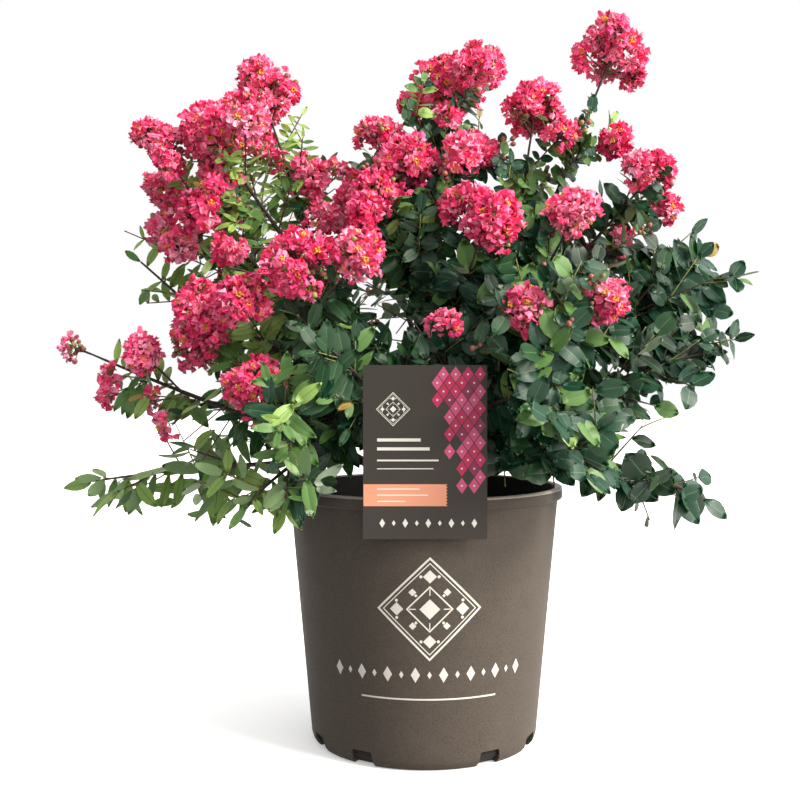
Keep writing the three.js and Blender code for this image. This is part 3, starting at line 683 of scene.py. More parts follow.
card_board, card_tree = start_material("laminated_board", "#34302b", 0.5, 1.5, {"Specular IOR Level": 0.25})
fibre = add_node(card_tree, "TexNoise", {"Scale": per_mm(1.5), "Detail": 4, "Roughness": 0.6})
vary(card_tree, fibre.outputs[0], tones=((0, "#302c27"), (1, "#35302b")), bump=(0.1, 0.05))
card_data.materials.append(card_board)
show_mesh("plant_card", card_data, ["label"])
card_reach = [[round(c / MM, 1) for c in corner] for corner in (card_low, card_high)]
print("the card reaches from and to", card_reach)

# %% [markdown]
# The card is printed by offset in thin satin inks: a coral band with a pinked end, a harlequin of raspberry
# diamonds down its right side, a small medallion, plain lines, and a row of diamonds at its foot. Each ink
# becomes a piece, and the cream lies a little higher than the rest, because it is printed last.

# %% Print the card
CARD_INKS = {
    "cream": "#d9d5cc", "coral": "#dc9373", "raspberry": "#b3154e", "pink": "#c84a76", "plum": "#7d1040",
}
HARLEQUIN = ("raspberry", "pink", "plum", "raspberry", "pink")
MARGIN = 11.0
BAND_BLEED = 0.4  # from the card's edge to the coral band
BAND_LOW, BAND_HIGH, BAND_LENGTH = 216.8, 233.9, 66.0
TEETH, TOOTH = 7, 1.2  # of the band's pinked end: how many, and how deep
BAND_LINES = ((0.78, 33), (0.5, 40), (0.22, 22))  # place on the band's height, and length
CARD_LINES = ((268.5, 34, 2.4), (261.5, 41, 2.4), (252.5, 48, 1.3), (246.0, 44, 0.7))  # height, length, width
CARD_MEDALLION = (12.5, 292.5, 13.0)  # from the margin, above the floor, and half its width
FOOT_ROW = (203.5, 9, 9.0)  # height, count and pitch
FOOT_SIZES = ((2.2, 3.6), (1.5, 2.2))  # half width and half height, by turns
LOZENGE_WIDTH, LOZENGE_HEIGHT, LOZENGE_FILL = 9.6, 13.4, 0.46
LOZENGE_ROWS = 14
LOZENGE_EDGE, LOZENGE_TOP = 5.4, 7.2  # from the card's side and top to the first lozenge
LOZENGE_COUNT, LOZENGE_FEWER = 4.5, 0.22  # across the top row, and how many fewer in each next one
CREAM_LIFT, INK_LIFT = 0.24, 0.14  # how far the cream and the other inks stand off the card


def lay_on_card(x, y, lift):
    """From a flat drawing to the front of the card."""
    return (x, CARD_FRONT - lift, y)


card_print = {ink: [] for ink in CARD_INKS}
margin, band_end = card_left + MARGIN, card_left + BAND_LENGTH
band_tall = BAND_HIGH - BAND_LOW
pinked = [(card_left + BAND_BLEED, BAND_LOW), (band_end, BAND_LOW)]
for k in range(TEETH):
    tooth = band_tall / TEETH
    pinked += [(band_end - TOOTH, BAND_LOW + tooth * (k + 0.5)), (band_end, BAND_LOW + tooth * (k + 1))]
card_print["coral"] = [pinked + [(card_left + BAND_BLEED, BAND_HIGH)]]
cream = card_print["cream"]
for share, length in BAND_LINES:
    cream += bar(margin, margin + length, BAND_LOW + share * band_tall, 1.0)
for height, length, tall in CARD_LINES:
    cream += bar(margin, margin + length, height, tall)
cream += medallion(margin + CARD_MEDALLION[0], *CARD_MEDALLION[1:])
for k in range(FOOT_ROW[1]):
    cream += diamond(margin + 4 + k * FOOT_ROW[2], FOOT_ROW[0], *FOOT_SIZES[k % 2])
for row in range(LOZENGE_ROWS):
    odd = row % 2
    for k in range(int(LOZENGE_COUNT - LOZENGE_FEWER * row + 0.5 * odd)):
        x = card_right - LOZENGE_EDGE - k * LOZENGE_WIDTH - odd * LOZENGE_WIDTH / 2
        y = card_top - LOZENGE_TOP - row * LOZENGE_HEIGHT / 2
        ink = HARLEQUIN[(2 * row + 3 * k) % len(HARLEQUIN)]
        card_print[ink] += diamond(x, y, LOZENGE_FILL * LOZENGE_WIDTH, LOZENGE_FILL * LOZENGE_HEIGHT, 1)
        cream += dot(x, y, 0.8, 10)
for ink, hex_value in CARD_INKS.items():
    offset_ink = grained("offset_ink_" + ink, hex_value, 0.45, 1.5, 2.0, 2, (0.08, 0.04))
    lift = CREAM_LIFT if ink == "cream" else INK_LIFT
    inked("card_print_" + ink, card_print[ink], lay_on_card, lift, offset_ink)

# %% [markdown]
# ## Potting mix
# The pot is filled almost to the band with a mix of peat and composted bark. From a step away it reads as a
# dark, crumbly surface with paler chips of bark. The bulk is a turned solid whose top is roughened point by
# point, and the chips are small bent slabs laid over it at random, all gathered into one mesh.

# %% Fill the pot
SOIL_LEVEL = 200.0
SOIL_CROWN = 204.0
CROWN_RADIUS = 36.0
SOIL_RINGS = 46
SOIL_SIDES = 150
FILL_CLEAR = 0.3  # between the mix and the pot's floor
ROUGHNESS = (-1.2, 0.9)  # how far a point of the surface sinks or rises
rng = np.random.default_rng(7)


def soil_height(radius):
    """Height of the mix at a distance from the middle: a low flat crown, falling toward the wall."""
    fall = np.clip((radius - CROWN_RADIUS) / (inside_top - CROWN_RADIUS), 0, 1)
    return SOIL_CROWN - (SOIL_CROWN - SOIL_LEVEL) * fall


soil_floor = POT_FLOOR + FILL_CLEAR
soil_top = wall_radius(SOIL_LEVEL) - POT_WALL - 0.5
soil_profile = [(r, soil_height(r)) for r in np.linspace(0.5, soil_top, SOIL_RINGS)]
soil_profile += [(wall_radius(60) - POT_WALL - 0.6, 60), (wall_radius(HEEL_RISE) - POT_WALL - 0.7, HEEL_RISE)]
soil_profile += [(FOOT_RADIUS - 2, soil_floor), (FLOOR_RING, soil_floor)]
soil_points, soil_faces = turned_solid(soil_profile, SOIL_SIDES, (SOIL_CROWN, soil_floor))
top_count = SOIL_RINGS * SOIL_SIDES
soil_points[:top_count, 2] += rng.uniform(*ROUGHNESS, top_count)
soil = Gathered()
soil.add(soil_points, soil_faces[:, ::-1])
print("the mix is", round(soil_height(soil_top)), "mm high at the wall")

# %% Scatter the chips of bark
CHIPS = 1500
CHIP_SIDES = ((2, 6), (1, 2.6), (0.5, 1.4))  # length, width and thickness, from the least to the most
CHIP_TILT = 0.5  # radians
CUBE_FACES = np.array([
    (0, 1, 3), (0, 3, 2), (4, 6, 7), (4, 7, 5), (0, 4, 5), (0, 5, 1),
    (2, 3, 7), (2, 7, 6), (0, 2, 6), (0, 6, 4), (1, 5, 7), (1, 7, 3),
])
chip_radius = np.sqrt(rng.uniform(0, 1, CHIPS)) * (soil_top - 5)
chip_angle = rng.uniform(0, TURN, CHIPS)
chip_x, chip_y = chip_radius * np.cos(chip_angle), chip_radius * np.sin(chip_angle)
chip_at = np.stack([chip_x, chip_y, soil_height(chip_radius)], -1)
chip_size = np.stack([rng.uniform(*sizes, CHIPS) for sizes in CHIP_SIDES], -1)
heading, tilt = rng.uniform(0, TURN, CHIPS), rng.uniform(-CHIP_TILT, CHIP_TILT, CHIPS)
cube = np.array([(x, y, z) for x in (-1, 1) for y in (-1, 1) for z in (-1, 1)]) / 2
bent = cube[None] * chip_size[:, None] * rng.uniform(0.6, 1.1, (CHIPS, 8, 1))
lengthwise = np.stack([np.cos(heading) * np.cos(tilt), np.sin(heading) * np.cos(tilt), np.sin(tilt)], -1)
sideways = np.stack([-np.sin(heading), np.cos(heading), np.zeros(CHIPS)], -1)
chip_frames = np.stack([lengthwise, sideways, np.cross(lengthwise, sideways)], 1)
soil.add_copies(bent @ chip_frames + chip_at[:, None], CUBE_FACES, rng.integers(1, 3, CHIPS))

# Peat and composted bark: nearly black when damp, matt, with a trace of fibre.
peat, peat_tree = start_material("damp_peat", "#231b16", 0.95, 1.45)
crumbs = add_node(peat_tree, "TexNoise", {"Scale": per_mm(2.5), "Detail": 5, "Roughness": 0.75})
vary(peat_tree, crumbs.outputs[0], tones=((0.35, "#0e0a08"), (0.75, "#2e241c")), bump=(0.7, 1.0))
BARK_CHIPS = {"bark_chip_dark": "#2c2018", "bark_chip_pale": "#443326"}
chip_bark = [grained(name, tone, 0.9, 1.45, 1.5, 3, (0.5, 0.4)) for name, tone in BARK_CHIPS.items()]
make_piece("potting_mix", soil, [peat] + chip_bark, ["root_ball"], smooth=False)

# %% [markdown]
# ## The rule of growth
# The stems, the shoots and their twigs aren't placed by hand. A table says where each stem and shoot ends,
# and a seeded rule grows the twigs from it. The same seed always gives the same numbers, so these twigs
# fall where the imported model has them, and finer ones can be grown on from there.
# A limb's line is a quadratic curve in one upright plane, from start to end, arched up by its bow.

# %% Lines and random numbers
def place(azimuth, reach, height):
    """A point at a bearing in degrees, a distance from the middle and a height."""
    angle = math.radians(azimuth)
    return Vector((reach * math.cos(angle), reach * math.sin(angle), height))


def limb_line(start, end, bow=0.0, steps=200):
    """A limb's line, with the length reached at even steps along it."""
    chord = end - start
    middle = start + chord / 2 + UP * (bow * chord.length)
    t = np.linspace(0, 1, steps + 1)[:, None]
    points = (1 - t) ** 2 * np.array(start) + 2 * t * (1 - t) * np.array(middle) + t * t * np.array(end)
    reached = np.concatenate([[0], np.cumsum(np.linalg.norm(np.diff(points, axis=0), axis=1))])
    across = chord.cross(UP)
    across = across.normalized() if across.length >= 1 else Vector((1, 0, 0))
    length = float(reached[-1])
    return {"ends": (start, middle, end), "reached": reached.tolist(), "across": across, "length": length}


def frame_at(line, share):
    """The point at a share of a line's length, and the directions along, across and upward there."""
    reached = line["reached"]
    want = share * reached[-1]
    last = len(reached) - 1
    i = min(max(bisect_left(reached, want), 1), last)
    t = (i - 1 + (want - reached[i - 1]) / (reached[i] - reached[i - 1])) / last
    start, middle, end = line["ends"]
    point = start * (1 - t) ** 2 + middle * (2 * t * (1 - t)) + end * (t * t)
    along = ((middle - start) * (1 - t) + (end - middle) * t).normalized()
    across = line["across"]
    return point, along, across, across.cross(along).normalized()


def leaning(axis, side, other, lean, spin):
    """A direction that leans away from an axis by one angle, and is spun round it by another."""
    tilted = axis * math.cos(lean) + side * (math.sin(lean) * math.cos(spin))
    return tilted + other * (math.sin(lean) * math.sin(spin))


def seeded(seed):
    """A small random generator that gives the same numbers from the same seed everywhere."""
    mask = 0xFFFFFFFF
    state = seed & mask

    def draw():
        nonlocal state
        state = (state + 0x6D2B79F5) & mask
        mixed = ((state ^ (state >> 15)) * (state | 1)) & mask
        mixed = (mixed + (((mixed ^ (mixed >> 7)) * (mixed | 61)) & mask) & mask) ^ mixed
        return ((mixed ^ (mixed >> 14)) & mask) / (mask + 1)

    return draw


def between(low, high, share):
    """The value at a share of the way from low to high."""
    return low + (high - low) * share


print("the first number from seed 1 is", round(seeded(1)(), 4))

# %% [markdown]
# Each stem leaves the low woody crown at a seat round its edge. Each shoot leaves a stem part of the way up,
# or at its end, and grows on to its own tip.

# %% The stems and the shoots
# name: seat on the root crown in degrees, then azimuth, reach and height of the tip, and bow
STEMS = {
    "left_low": (178, 182, 100, 262, 0.2),
    "left": (224, 196, 92, 318, 0.1),
    "upper_left": (132, 168, 84, 385, 0.02),
    "centre": (0, 300, 16, 380, 0),
    "upper_right": (26, 8, 84, 390, 0.02),
    "right": (336, 348, 104, 292, 0.12),
    "front": (282, 290, 84, 290, 0.14),
    "back": (80, 90, 88, 330, 0.08),
}
# name: stem, place on it, azimuth, reach, height, bow, where its leaves begin, twig length, twigs,
# panicles, radius of the panicle at its tip, seed
SHOOTS = {
    "far_left": ("left_low", 1, 181, 300, 340, -0.02, 0.3, 58, 4, 3, 16, 153),
    "low_left": ("left_low", 0.5, 175, 303, 222, 0.04, 0.34, 50, 5, 0, 0, 55),
    "left_skirt": ("left", 0.4, 213, 172, 214, 0.3, 0, 46, 5, 0, 0, 14),
    "left_low": ("left", 1, 198, 173, 362, 0.04, 0, 56, 4, 3, 28, 137),
    "left_mid": ("left", 0.75, 224, 134, 392, 0.02, 0, 54, 4, 2, 29, 446),
    "left_front": ("left", 0.55, 228, 189, 296, 0.06, 0, 54, 5, 0, 0, 7),
    "inner_left": ("front", 0.35, 242, 153, 337, 0.04, 0, 50, 5, 0, 0, 1),
    "top_left": ("upper_left", 1, 174, 137, 545, 0, 0.35, 56, 4, 3, 36, 86),
    "upper_left": ("upper_left", 0.85, 187, 181, 518, 0.04, 0.45, 56, 5, 3, 29, 552),
    "left_outer": ("upper_left", 0.6, 171, 223, 477, 0.05, 0.4, 56, 5, 3, 24, 163),
    "left_twig": ("left_low", 0.88, 170, 266, 424, 0.04, 0.45, 40, 4, 0, 0, 7),
    "centre_left": ("centre", 0.8, 247, 35, 479, 0, 0, 54, 5, 3, 28, 34),
    "top_mid": ("centre", 1, 39, 26, 561, 0, 0.4, 56, 5, 3, 29, 26),
    "centre": ("centre", 0.62, 299, 91, 429, 0, 0, 56, 4, 2, 28, 570),
    "spire": ("upper_right", 1, 7, 164, 589, 0, 0.45, 34, 4, 1, 33, 7),
    "upper_right": ("upper_right", 0.82, 3, 96, 532, 0, 0, 54, 4, 2, 29, 5),
    "right_upper": ("upper_right", 0.62, 356, 196, 489, 0.03, 0.35, 50, 5, 3, 18, 126),
    "centre_right": ("upper_right", 0.42, 331, 134, 438, 0.02, 0, 52, 5, 1, 22, 1),
    "right_dome": ("right", 1, 7, 246, 422, 0.06, 0.35, 52, 6, 0, 0, 1),
    "right_mid": ("right", 0.8, 354, 245, 339, 0.05, 0.3, 50, 6, 0, 0, 5),
    "low_right": ("right", 0.5, 349, 240, 214, 0.14, 0.35, 48, 5, 0, 0, 4),
    "front_right": ("front", 1, 319, 170, 369, 0.03, 0, 56, 5, 2, 22, 26),
    "front_low": ("front", 0.72, 317, 185, 245, 0.16, 0, 48, 5, 0, 0, 5),
    "inner_right": ("front", 0.86, 304, 180, 312, 0.06, 0, 50, 5, 0, 0, 1),
    "front_centre": ("front", 0.6, 278, 107, 352, 0.02, 0, 48, 5, 1, 14, 4),
    "back_top": ("back", 1, 109, 132, 483, 0.02, 0.35, 58, 4, 3, 30, 1),
    "back_left": ("back", 0.75, 126, 222, 389, 0.06, 0.35, 58, 4, 2, 27, 1),
    "back_right": ("back", 0.88, 59, 201, 416, 0.04, 0.35, 58, 4, 2, 29, 1),
    "back_low": ("back", 0.45, 88, 215, 292, 0.14, 0, 54, 4, 0, 0, 1),
    "back_right_low": ("right", 0.3, 33, 238, 289, 0.16, 0, 54, 4, 0, 0, 1),
    "back_left_low": ("left_low", 0.45, 150, 238, 284, 0.14, 0, 54, 4, 0, 0, 1),
}
SHOOT_FACTS = (
    "stem", "from", "azimuth", "reach", "height", "bow", "enter", "spread", "twigs",
    "blooms", "bloom", "seed",
)
ROOT_CLEAR = 0.3  # between the mix and the root crown
GROUND = SOIL_CROWN + ROOT_CLEAR
SEAT_RADIUS, SEAT_RISE = 15.0, 3.0  # where the stems start, from the crown's middle and over the ground
STEM_BASE, STEM_TIP = 4.6, 3.1
BOUGH_BASE, SHOOT_TIP = 2.8, 1.5
STUB, STUB_CLEAR = 14.0, 1.2  # the part of a shoot that is still one with its stem, and the room round it
STUB_STEP = 2.0
STUB_LOOKS = 60  # places along a neighbour that are tested


def stem_radius(share):
    """The radius of a stem at a share of its length."""
    return between(STEM_BASE, STEM_TIP, share)


def shoot_radius(share):
    """The radius of a shoot at a share of its length."""
    return between(BOUGH_BASE, SHOOT_TIP, share)


def stub_end(line, beside):
    """Where a shoot is first clear of the limbs that start beside it, as a share of its length."""
    share = STUB / line["length"]
    while share < 0.9:
        point = frame_at(line, share)[0]
        clear = all(
            (frame_at(other, i / STUB_LOOKS)[0] - point).length
            > shoot_radius(share) + radius_at(i / STUB_LOOKS) + STUB_CLEAR
            for other, radius_at in beside for i in range(STUB_LOOKS + 1)
        )
        if clear:
            break
        share += STUB_STEP / line["length"]
    return share


stem_lines = {}
for name, (seat, azimuth, reach, height, bow) in STEMS.items():
    root = place(seat, 0 if name == "centre" else SEAT_RADIUS, GROUND + SEAT_RISE)
    stem_lines[name] = limb_line(root, place(azimuth, reach, height), bow)
shoots = {name: dict(zip(SHOOT_FACTS, facts), name=name) for name, facts in SHOOTS.items()}
for shoot in shoots.values():
    start = frame_at(stem_lines[shoot["stem"]], shoot["from"])[0]
    shoot["line"] = limb_line(start, place(shoot["azimuth"], shoot["reach"], shoot["height"]), shoot["bow"])
for shoot in shoots.values():
    others = [o for o in shoots.values() if o is not shoot and o["stem"] == shoot["stem"]]
    beside = [(other["line"], shoot_radius) for other in others]
    if shoot["from"] < 1:
        beside.append((stem_lines[shoot["stem"]], stem_radius))
    shoot["begin"] = max(shoot["enter"], stub_end(shoot["line"], beside))
print(len(stem_lines), "stems and", len(shoots), "shoots")

# %% [markdown]
# Now the twigs. Each shoot's first twig points a random way, and each next one is turned on by the golden
# angle, which is how many plants space their twigs so that none stands right over another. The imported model
# leaves out a twig that would touch something. To leave out the same ones, each twig is looked up in the
# model's own solid with a BVH tree, which finds the nearest point of a mesh very quickly.

# %% Grow the twigs
GOLDEN = math.radians(137.5)
TWIG_SHARE, TWIG_TIP = 0.8, 0.9  # a twig's foot, against its shoot, and the radius of its tip
FIRST_TWIG, TWIG_SPAN = 0.1, 0.76
LEAN, LEAN_MORE, WANDER = 46, 18, 0.5
LONGEST, SHORTEN, RISE = 1.12, 0.35, 0.22
BLOOM_SHARE, BLOOM_MORE = 0.68, 0.25  # a twig's panicle, against the one at the shoot's tip
HELD = 1.0  # how far a packed twig's surface may be from where it is looked for
BLOOM_HELD = 3.0  # more on a flowering twig, which swells into its panicle


def grow_twigs(shoot):
    """The twigs of one shoot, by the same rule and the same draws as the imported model."""
    random = seeded(shoot["seed"])
    first_spin = random() * TURN
    grown = []
    for k in range(shoot["twigs"]):
        rank = (k + 0.5) / shoot["twigs"]
        share = between(shoot["begin"], 1, FIRST_TWIG + TWIG_SPAN * rank)
        spin = first_spin + k * GOLDEN + (random() - 0.5) * WANDER
        lean = math.radians(LEAN + LEAN_MORE * random())
        length = shoot["spread"] * (LONGEST - SHORTEN * rank) * (0.85 + 0.3 * random())
        point, along, across, upward = frame_at(shoot["line"], share)
        way = (leaning(along, across, upward, lean, spin) + UP * RISE).normalized()
        blooms = shoot["twigs"] - k < shoot["blooms"]
        bloom = shoot["bloom"] * (BLOOM_SHARE + BLOOM_MORE * random()) if blooms else 0
        line = limb_line(point, point + way * length)
        foot = TWIG_SHARE * shoot_radius(share)
        grown.append({"line": line, "from": 0, "foot": foot, "tip": TWIG_TIP, "bloom": bloom})
    return grown


def solid_holds(tree, line, foot):
    """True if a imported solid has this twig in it: its surface lies a twig's thickness away all along."""
    for share in (0.35, 0.6, 0.85):
        point = frame_at(line, share)[0]
        near = tree.find_nearest(point * MM)[0]
        if (near / MM - point).length > between(foot, TWIG_TIP, share) + HELD:
            return False
    return True


bearers = []  # every leader and twig, which then bear finer twigs, leaves or a panicle
for shoot in shoots.values():
    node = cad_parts["mass_" + shoot["name"]]
    tree = BVHTree.FromPolygons([v.co for v in node.data.vertices], [p.vertices for p in node.data.polygons])
    begin = shoot["begin"]
    leader = {"line": shoot["line"], "from": begin, "foot": shoot_radius(begin), "tip": SHOOT_TIP}
    leader["bloom"] = shoot["bloom"] if shoot["blooms"] else 0
    own = [leader]
    for twig in grow_twigs(shoot):
        swollen = BLOOM_HELD if twig["bloom"] else 0
        if solid_holds(tree, twig["line"], twig["foot"] + swollen):
            own.append(twig)
    low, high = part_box(node.name)
    for bearer in own:
        bearer.update(shoot=shoot, low=low / MM, high=high / MM, leader=bearer is leader)
    bearers += own
print(len(bearers) - len(shoots), "twigs of the packed model are found")

# %% [markdown]
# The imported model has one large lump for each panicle, and only so many twigs. Here the leaders also bear
# side branches, some with a small panicle and some with leaves alone, which close bare places or reach out
# of the crown. A few panicles are smaller than their lump, or have faded.

# %% Grow the side branches
# shoot, place on it, azimuth, reach and height of the tip, radius of the panicle or 0
SIDE_BRANCHES = (
    ("far_left", 0.72, 187, 243, 332, 17), ("left_front", 0.7, 220, 157, 300, 25),
    ("centre_left", 0.75, 208, 43, 516, 19), ("top_mid", 0.45, 311, 40, 498, 19),
    ("top_mid", 0.6, 12, 47, 512, 17), ("centre_left", 0.4, 236, 72, 443, 20),
    ("upper_left", 0.6, 191, 184, 458, 20), ("left_outer", 0.55, 185.5, 207, 428, 16),
    ("upper_left", 0.45, 194, 165, 428, 15), ("top_left", 0.75, 180, 106, 497, 16),
    ("top_left", 0.6, 183, 94, 462, 13), ("front_right", 0.6, 306, 138, 358, 22),
    ("spire", 0.6, 358.6, 163, 522, 14), ("left_outer", 0.8, 182.4, 236, 524, 14),
    ("far_left", 0.5, 190.6, 217, 279, 7), ("upper_left", 0.8, 184, 178, 494, 12),
    ("centre", 0.3, 170, 42, 382, 0), ("centre", 0.42, 220, 48, 408, 0), ("back_top", 0.3, 125, 70, 372, 0),
    ("back_top", 0.4, 150, 60, 402, 0), ("right_mid", 0.65, 0.5, 268, 356, 0),
    ("right_dome", 0.6, 356, 258, 405, 0), ("right_dome", 0.7, 2, 250, 426, 0),
    ("left_outer", 0.42, 182, 264, 446, 0), ("left_low", 0.4, 188, 210, 262, 0),
    ("left_low", 0.5, 196, 200, 240, 0), ("back_top", 0.3, 112, 66, 358, 0),
    ("centre", 0.25, 150, 40, 352, 0),
)
SIDE_FOOT = 1.4
# The share of its size that each of a shoot's panicles keeps, in order.
BLOOM_KEPT = {
    "far_left": (0.85, 0.6, 0), "top_left": (0.93, 1, 0), "upper_left": (0.85,), "upper_right": (1, 0.6),
    "front_right": (1, 0), "left_outer": (1, 0.8, 0.7),
}
for name, shares in BLOOM_KEPT.items():
    blooming = [b for b in bearers if b["shoot"]["name"] == name and b["bloom"]]
    for bearer, share in zip(blooming, shares):
        bearer["bloom"] *= share
leaders = {b["shoot"]["name"]: b for b in bearers if b["leader"]}
for name, share, azimuth, reach, height, radius in SIDE_BRANCHES:
    leader = leaders[name]
    line = limb_line(frame_at(leader["line"], share)[0], place(azimuth, reach, height))
    branch = {"line": line, "from": 0, "foot": SIDE_FOOT, "tip": TWIG_TIP, "bloom": radius, "leader": False}
    bearers.append({**leader, **branch})
panicles = [b for b in bearers if b["bloom"]]
print(len(bearers) - len(shoots), "twigs grown and", len(panicles), "panicles")

# %% [markdown]
# ## Wood
# Old stems of this shrub are a few millimetres thick, dark brown, faintly fluted, and swollen where a pair
# of leaves has been. Young shoots are red-brown and turn green at the tip. Every limb is a tube whose rings
# are pushed in and out by a few waves, so the flutes and joints are in the mesh. The bark's colour changes
# in fine streaks, and its pores are a bump.

# %% Mix the bark
PORE = 1.4  # mm between the pores
# name: dark tone, pale tone, width of the streaks in mm, roughness
BARKS = {
    "old_bark": ("#1c1413", "#463630", 3.0, 0.8),
    "red_rind": ("#30191a", "#5f3b30", 4.0, 0.6),
    "green_rind": ("#5a4a2a", "#7f8a44", 5.0, 0.5),
}
barks = []
for name, (dark, pale, streak, roughness) in BARKS.items():
    bark, tree = start_material(name, dark, roughness, 1.5)
    streaks = add_node(tree, "TexNoise", {"Scale": per_mm(streak), "Detail": 4, "Roughness": 0.65})
    pores = add_node(tree, "TexVoronoi", {"Scale": per_mm(PORE)})
    vary(tree, streaks.outputs[0], tones=((0.38, dark), (0.68, pale)))
    vary(tree, pores.outputs[0], bump=(0.4, 0.3))
    barks.append(bark)
OLD, RED, GREEN = range(3)
print(len(barks), "barks")

# %% Make the stems and shoots
JOINT_PITCH, JOINT_HALF = 26.0, 2.2  # mm between swollen joints, and half the length of one
JOINT_SWELL, FLUTE_FINE = 2.4, 0.6  # both against the relief of the flutes
BARK_RELIEF = 0.06
CROWN_RINGS = ((27, -0.3), (25.5, 1.2), (22, 3.6), (20.5, 6), (18.5, 9), (14.5, 12.5), (8, 14.8), (1, 15.4))
CROWN_TOP = 15.5
CROWN_SIDES = 28


def add_tube(gathered, line, first, last, radius_at, sides, step, kind=0, relief=0.0, phase=0.0):
    """A limb as a tube along its line, with fluted sides and swollen joints, closed at its tip."""
    rings = max(3, round(line["length"] * (last - first) / step) + 1)
    points = []
    for ring in range(rings):
        share = between(first, last, ring / (rings - 1))
        point, along, across, upward = frame_at(line, share)
        reached = share * line["length"]
        from_joint = (reached + 7 * phase) % JOINT_PITCH - JOINT_PITCH / 2
        swell = 1 + relief * JOINT_SWELL * math.exp(-((from_joint / JOINT_HALF) ** 2))
        for side in range(sides):
            angle = TURN * side / sides
            flutes = math.sin(3 * angle + 0.05 * reached + phase)
            flutes += FLUTE_FINE * math.sin(5 * angle - 0.11 * reached)
            radius = radius_at(share) * swell * (1 + relief * flutes)
            points.append(point + across * (radius * math.cos(angle)) + upward * (radius * math.sin(angle)))
    tip, along = frame_at(line, last)[:2]
    points.append(tip + along * radius_at(last) * 0.6)
    faces = [ring_triangles(rings, sides), fan_triangles((rings - 1) * sides, rings * sides, sides)]
    gathered.add(points, np.concatenate(faces), kind)


wood = Gathered()
for number, line in enumerate(stem_lines.values()):
    add_tube(wood, line, 0, 1, stem_radius, 10, 3, OLD, BARK_RELIEF, number)
for number, shoot in enumerate(shoots.values()):
    add_tube(wood, shoot["line"], 0, shoot["begin"] + 0.02, shoot_radius, 8, 4, OLD, BARK_RELIEF, number)

crown_points = turned_points([(r, GROUND + h) for r, h in CROWN_RINGS], CROWN_SIDES)
angles = np.tile(np.arange(CROWN_SIDES) * TURN / CROWN_SIDES, len(CROWN_RINGS))
knobs = 1 + 0.05 * np.sin(5 * angles) + 0.04 * np.sin(8 * angles + 1) - 0.08
crown_points[:, :2] *= knobs[:, None]
last_ring = len(crown_points) - CROWN_SIDES
crown_top = fan_triangles(last_ring, len(crown_points), CROWN_SIDES)
crown_faces = [ring_triangles(len(CROWN_RINGS), CROWN_SIDES), crown_top]
wood.add(np.concatenate([crown_points, [[0, 0, GROUND + CROWN_TOP]]]), np.concatenate(crown_faces))
wood_nodes = [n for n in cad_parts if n.startswith(("stem_", "bough_", "root_crown"))]
make_piece("stems_and_boughs", wood, barks[:1], wood_nodes)

# %% [markdown]
# ## Where a leaf or floret may be
# Growth stops at what is already there. A leaf is left out where it would enter the pot, its filling, the
# space round the card or the heart of a panicle, and where it would pass far outside its own mass. Leaves
# also keep out of the way of the florets, which turn outward from the middle of the plant.

# %% Rules of room
LOWEST_LEAF = 182.0
WALL_CLEAR = 1.5
MIX_CLEAR = 2.0
CARD_CLEAR = 6.0
BEHIND_CARD = 4.0
BARE_RIM = (4.0, 6.0)  # past the rim and above it, on the card's right, where no leaf hangs over
REACH_PAST = 7.0  # how far a leaf may pass its mass's box
HALF_LENGTH = 0.95  # half the length of a panicle, in radii
TIP_SUNK = 6.0  # how far a twig's tip reaches into its panicle
BACK_HALF = 60.0  # panicles farther back than this face backward
FRONT_PULL = 250.0  # how strongly the others face the path that the plant is seen from
for number, bearer in enumerate(panicles):
    tip, way = frame_at(bearer["line"], 1)[:2]
    half = bearer["bloom"] * HALF_LENGTH
    bearer.update(middle=tip + way * (half - TIP_SUNK), way=way, half=half, mood=seeded(9000 + number)())


def rows(vectors):
    """Many vectors as one array."""
    return np.array([tuple(v) for v in vectors])


panicle_middles = rows(b["middle"] for b in panicles)
panicle_radii = np.array([b["bloom"] for b in panicles])
toward_path = np.where(panicle_middles[:, 1:2] < BACK_HALF, [[0, -FRONT_PULL, 0]], [[0, 0, 0]])
panicle_outward = panicle_middles * (1, 1, 0.25) + toward_path
panicle_outward /= np.linalg.norm(panicle_outward, axis=1, keepdims=True)


def is_free(point):
    """True where a leaf may be: not in the pot or its filling, and not round the card."""
    x, y, z = point
    reach = math.hypot(x, y)
    in_wall = z < POT_HEIGHT + WALL_CLEAR and inside_top - 2 < reach < RIM_RADIUS + WALL_CLEAR
    in_mix = z < SOIL_CROWN + MIX_CLEAR and reach < inside_top
    across_card = card_left - CARD_CLEAR < x < card_right + CARD_CLEAR
    beside_card = CARD_BOTTOM - CARD_CLEAR < z < card_top + CARD_CLEAR and y < CARD_BACK + BEHIND_CARD
    over_rim = y < 0 < x < RIM_RADIUS + BARE_RIM[0] and z < POT_HEIGHT + BARE_RIM[1] and reach > inside_top
    return z > LOWEST_LEAF and not (in_wall or in_mix or (across_card and beside_card) or over_rim)


def in_panicle(point, share=0.75):
    """True where a point lies well inside a panicle."""
    away = np.linalg.norm(panicle_middles - np.array(point), axis=1)
    return bool((away < share * panicle_radii).any())


def hides_panicle(point, share):
    """True just before a panicle on the side that it faces, where a leaf would cover the florets."""
    apart = panicle_middles - np.array(point)
    along = -(apart * panicle_outward).sum(1)
    off = np.linalg.norm(apart + along[:, None] * panicle_outward, axis=1)
    return bool(((off < share * panicle_radii) & (along > 0) & (along < 3 * panicle_radii)).any())


def within(bearer, point):
    """True inside the box of the bearer's own mass, or just past it."""
    low, high = bearer["low"], bearer["high"]
    return all(low[i] - REACH_PAST < point[i] < high[i] + REACH_PAST for i in range(3))


def stray(random, size):
    """A random vector in a cube of this size."""
    return Vector((random() - 0.5, random() - 0.5, random() - 0.5)) * size


print("a leaf may hang at the rim:", is_free(Vector((0, 130, 230))))

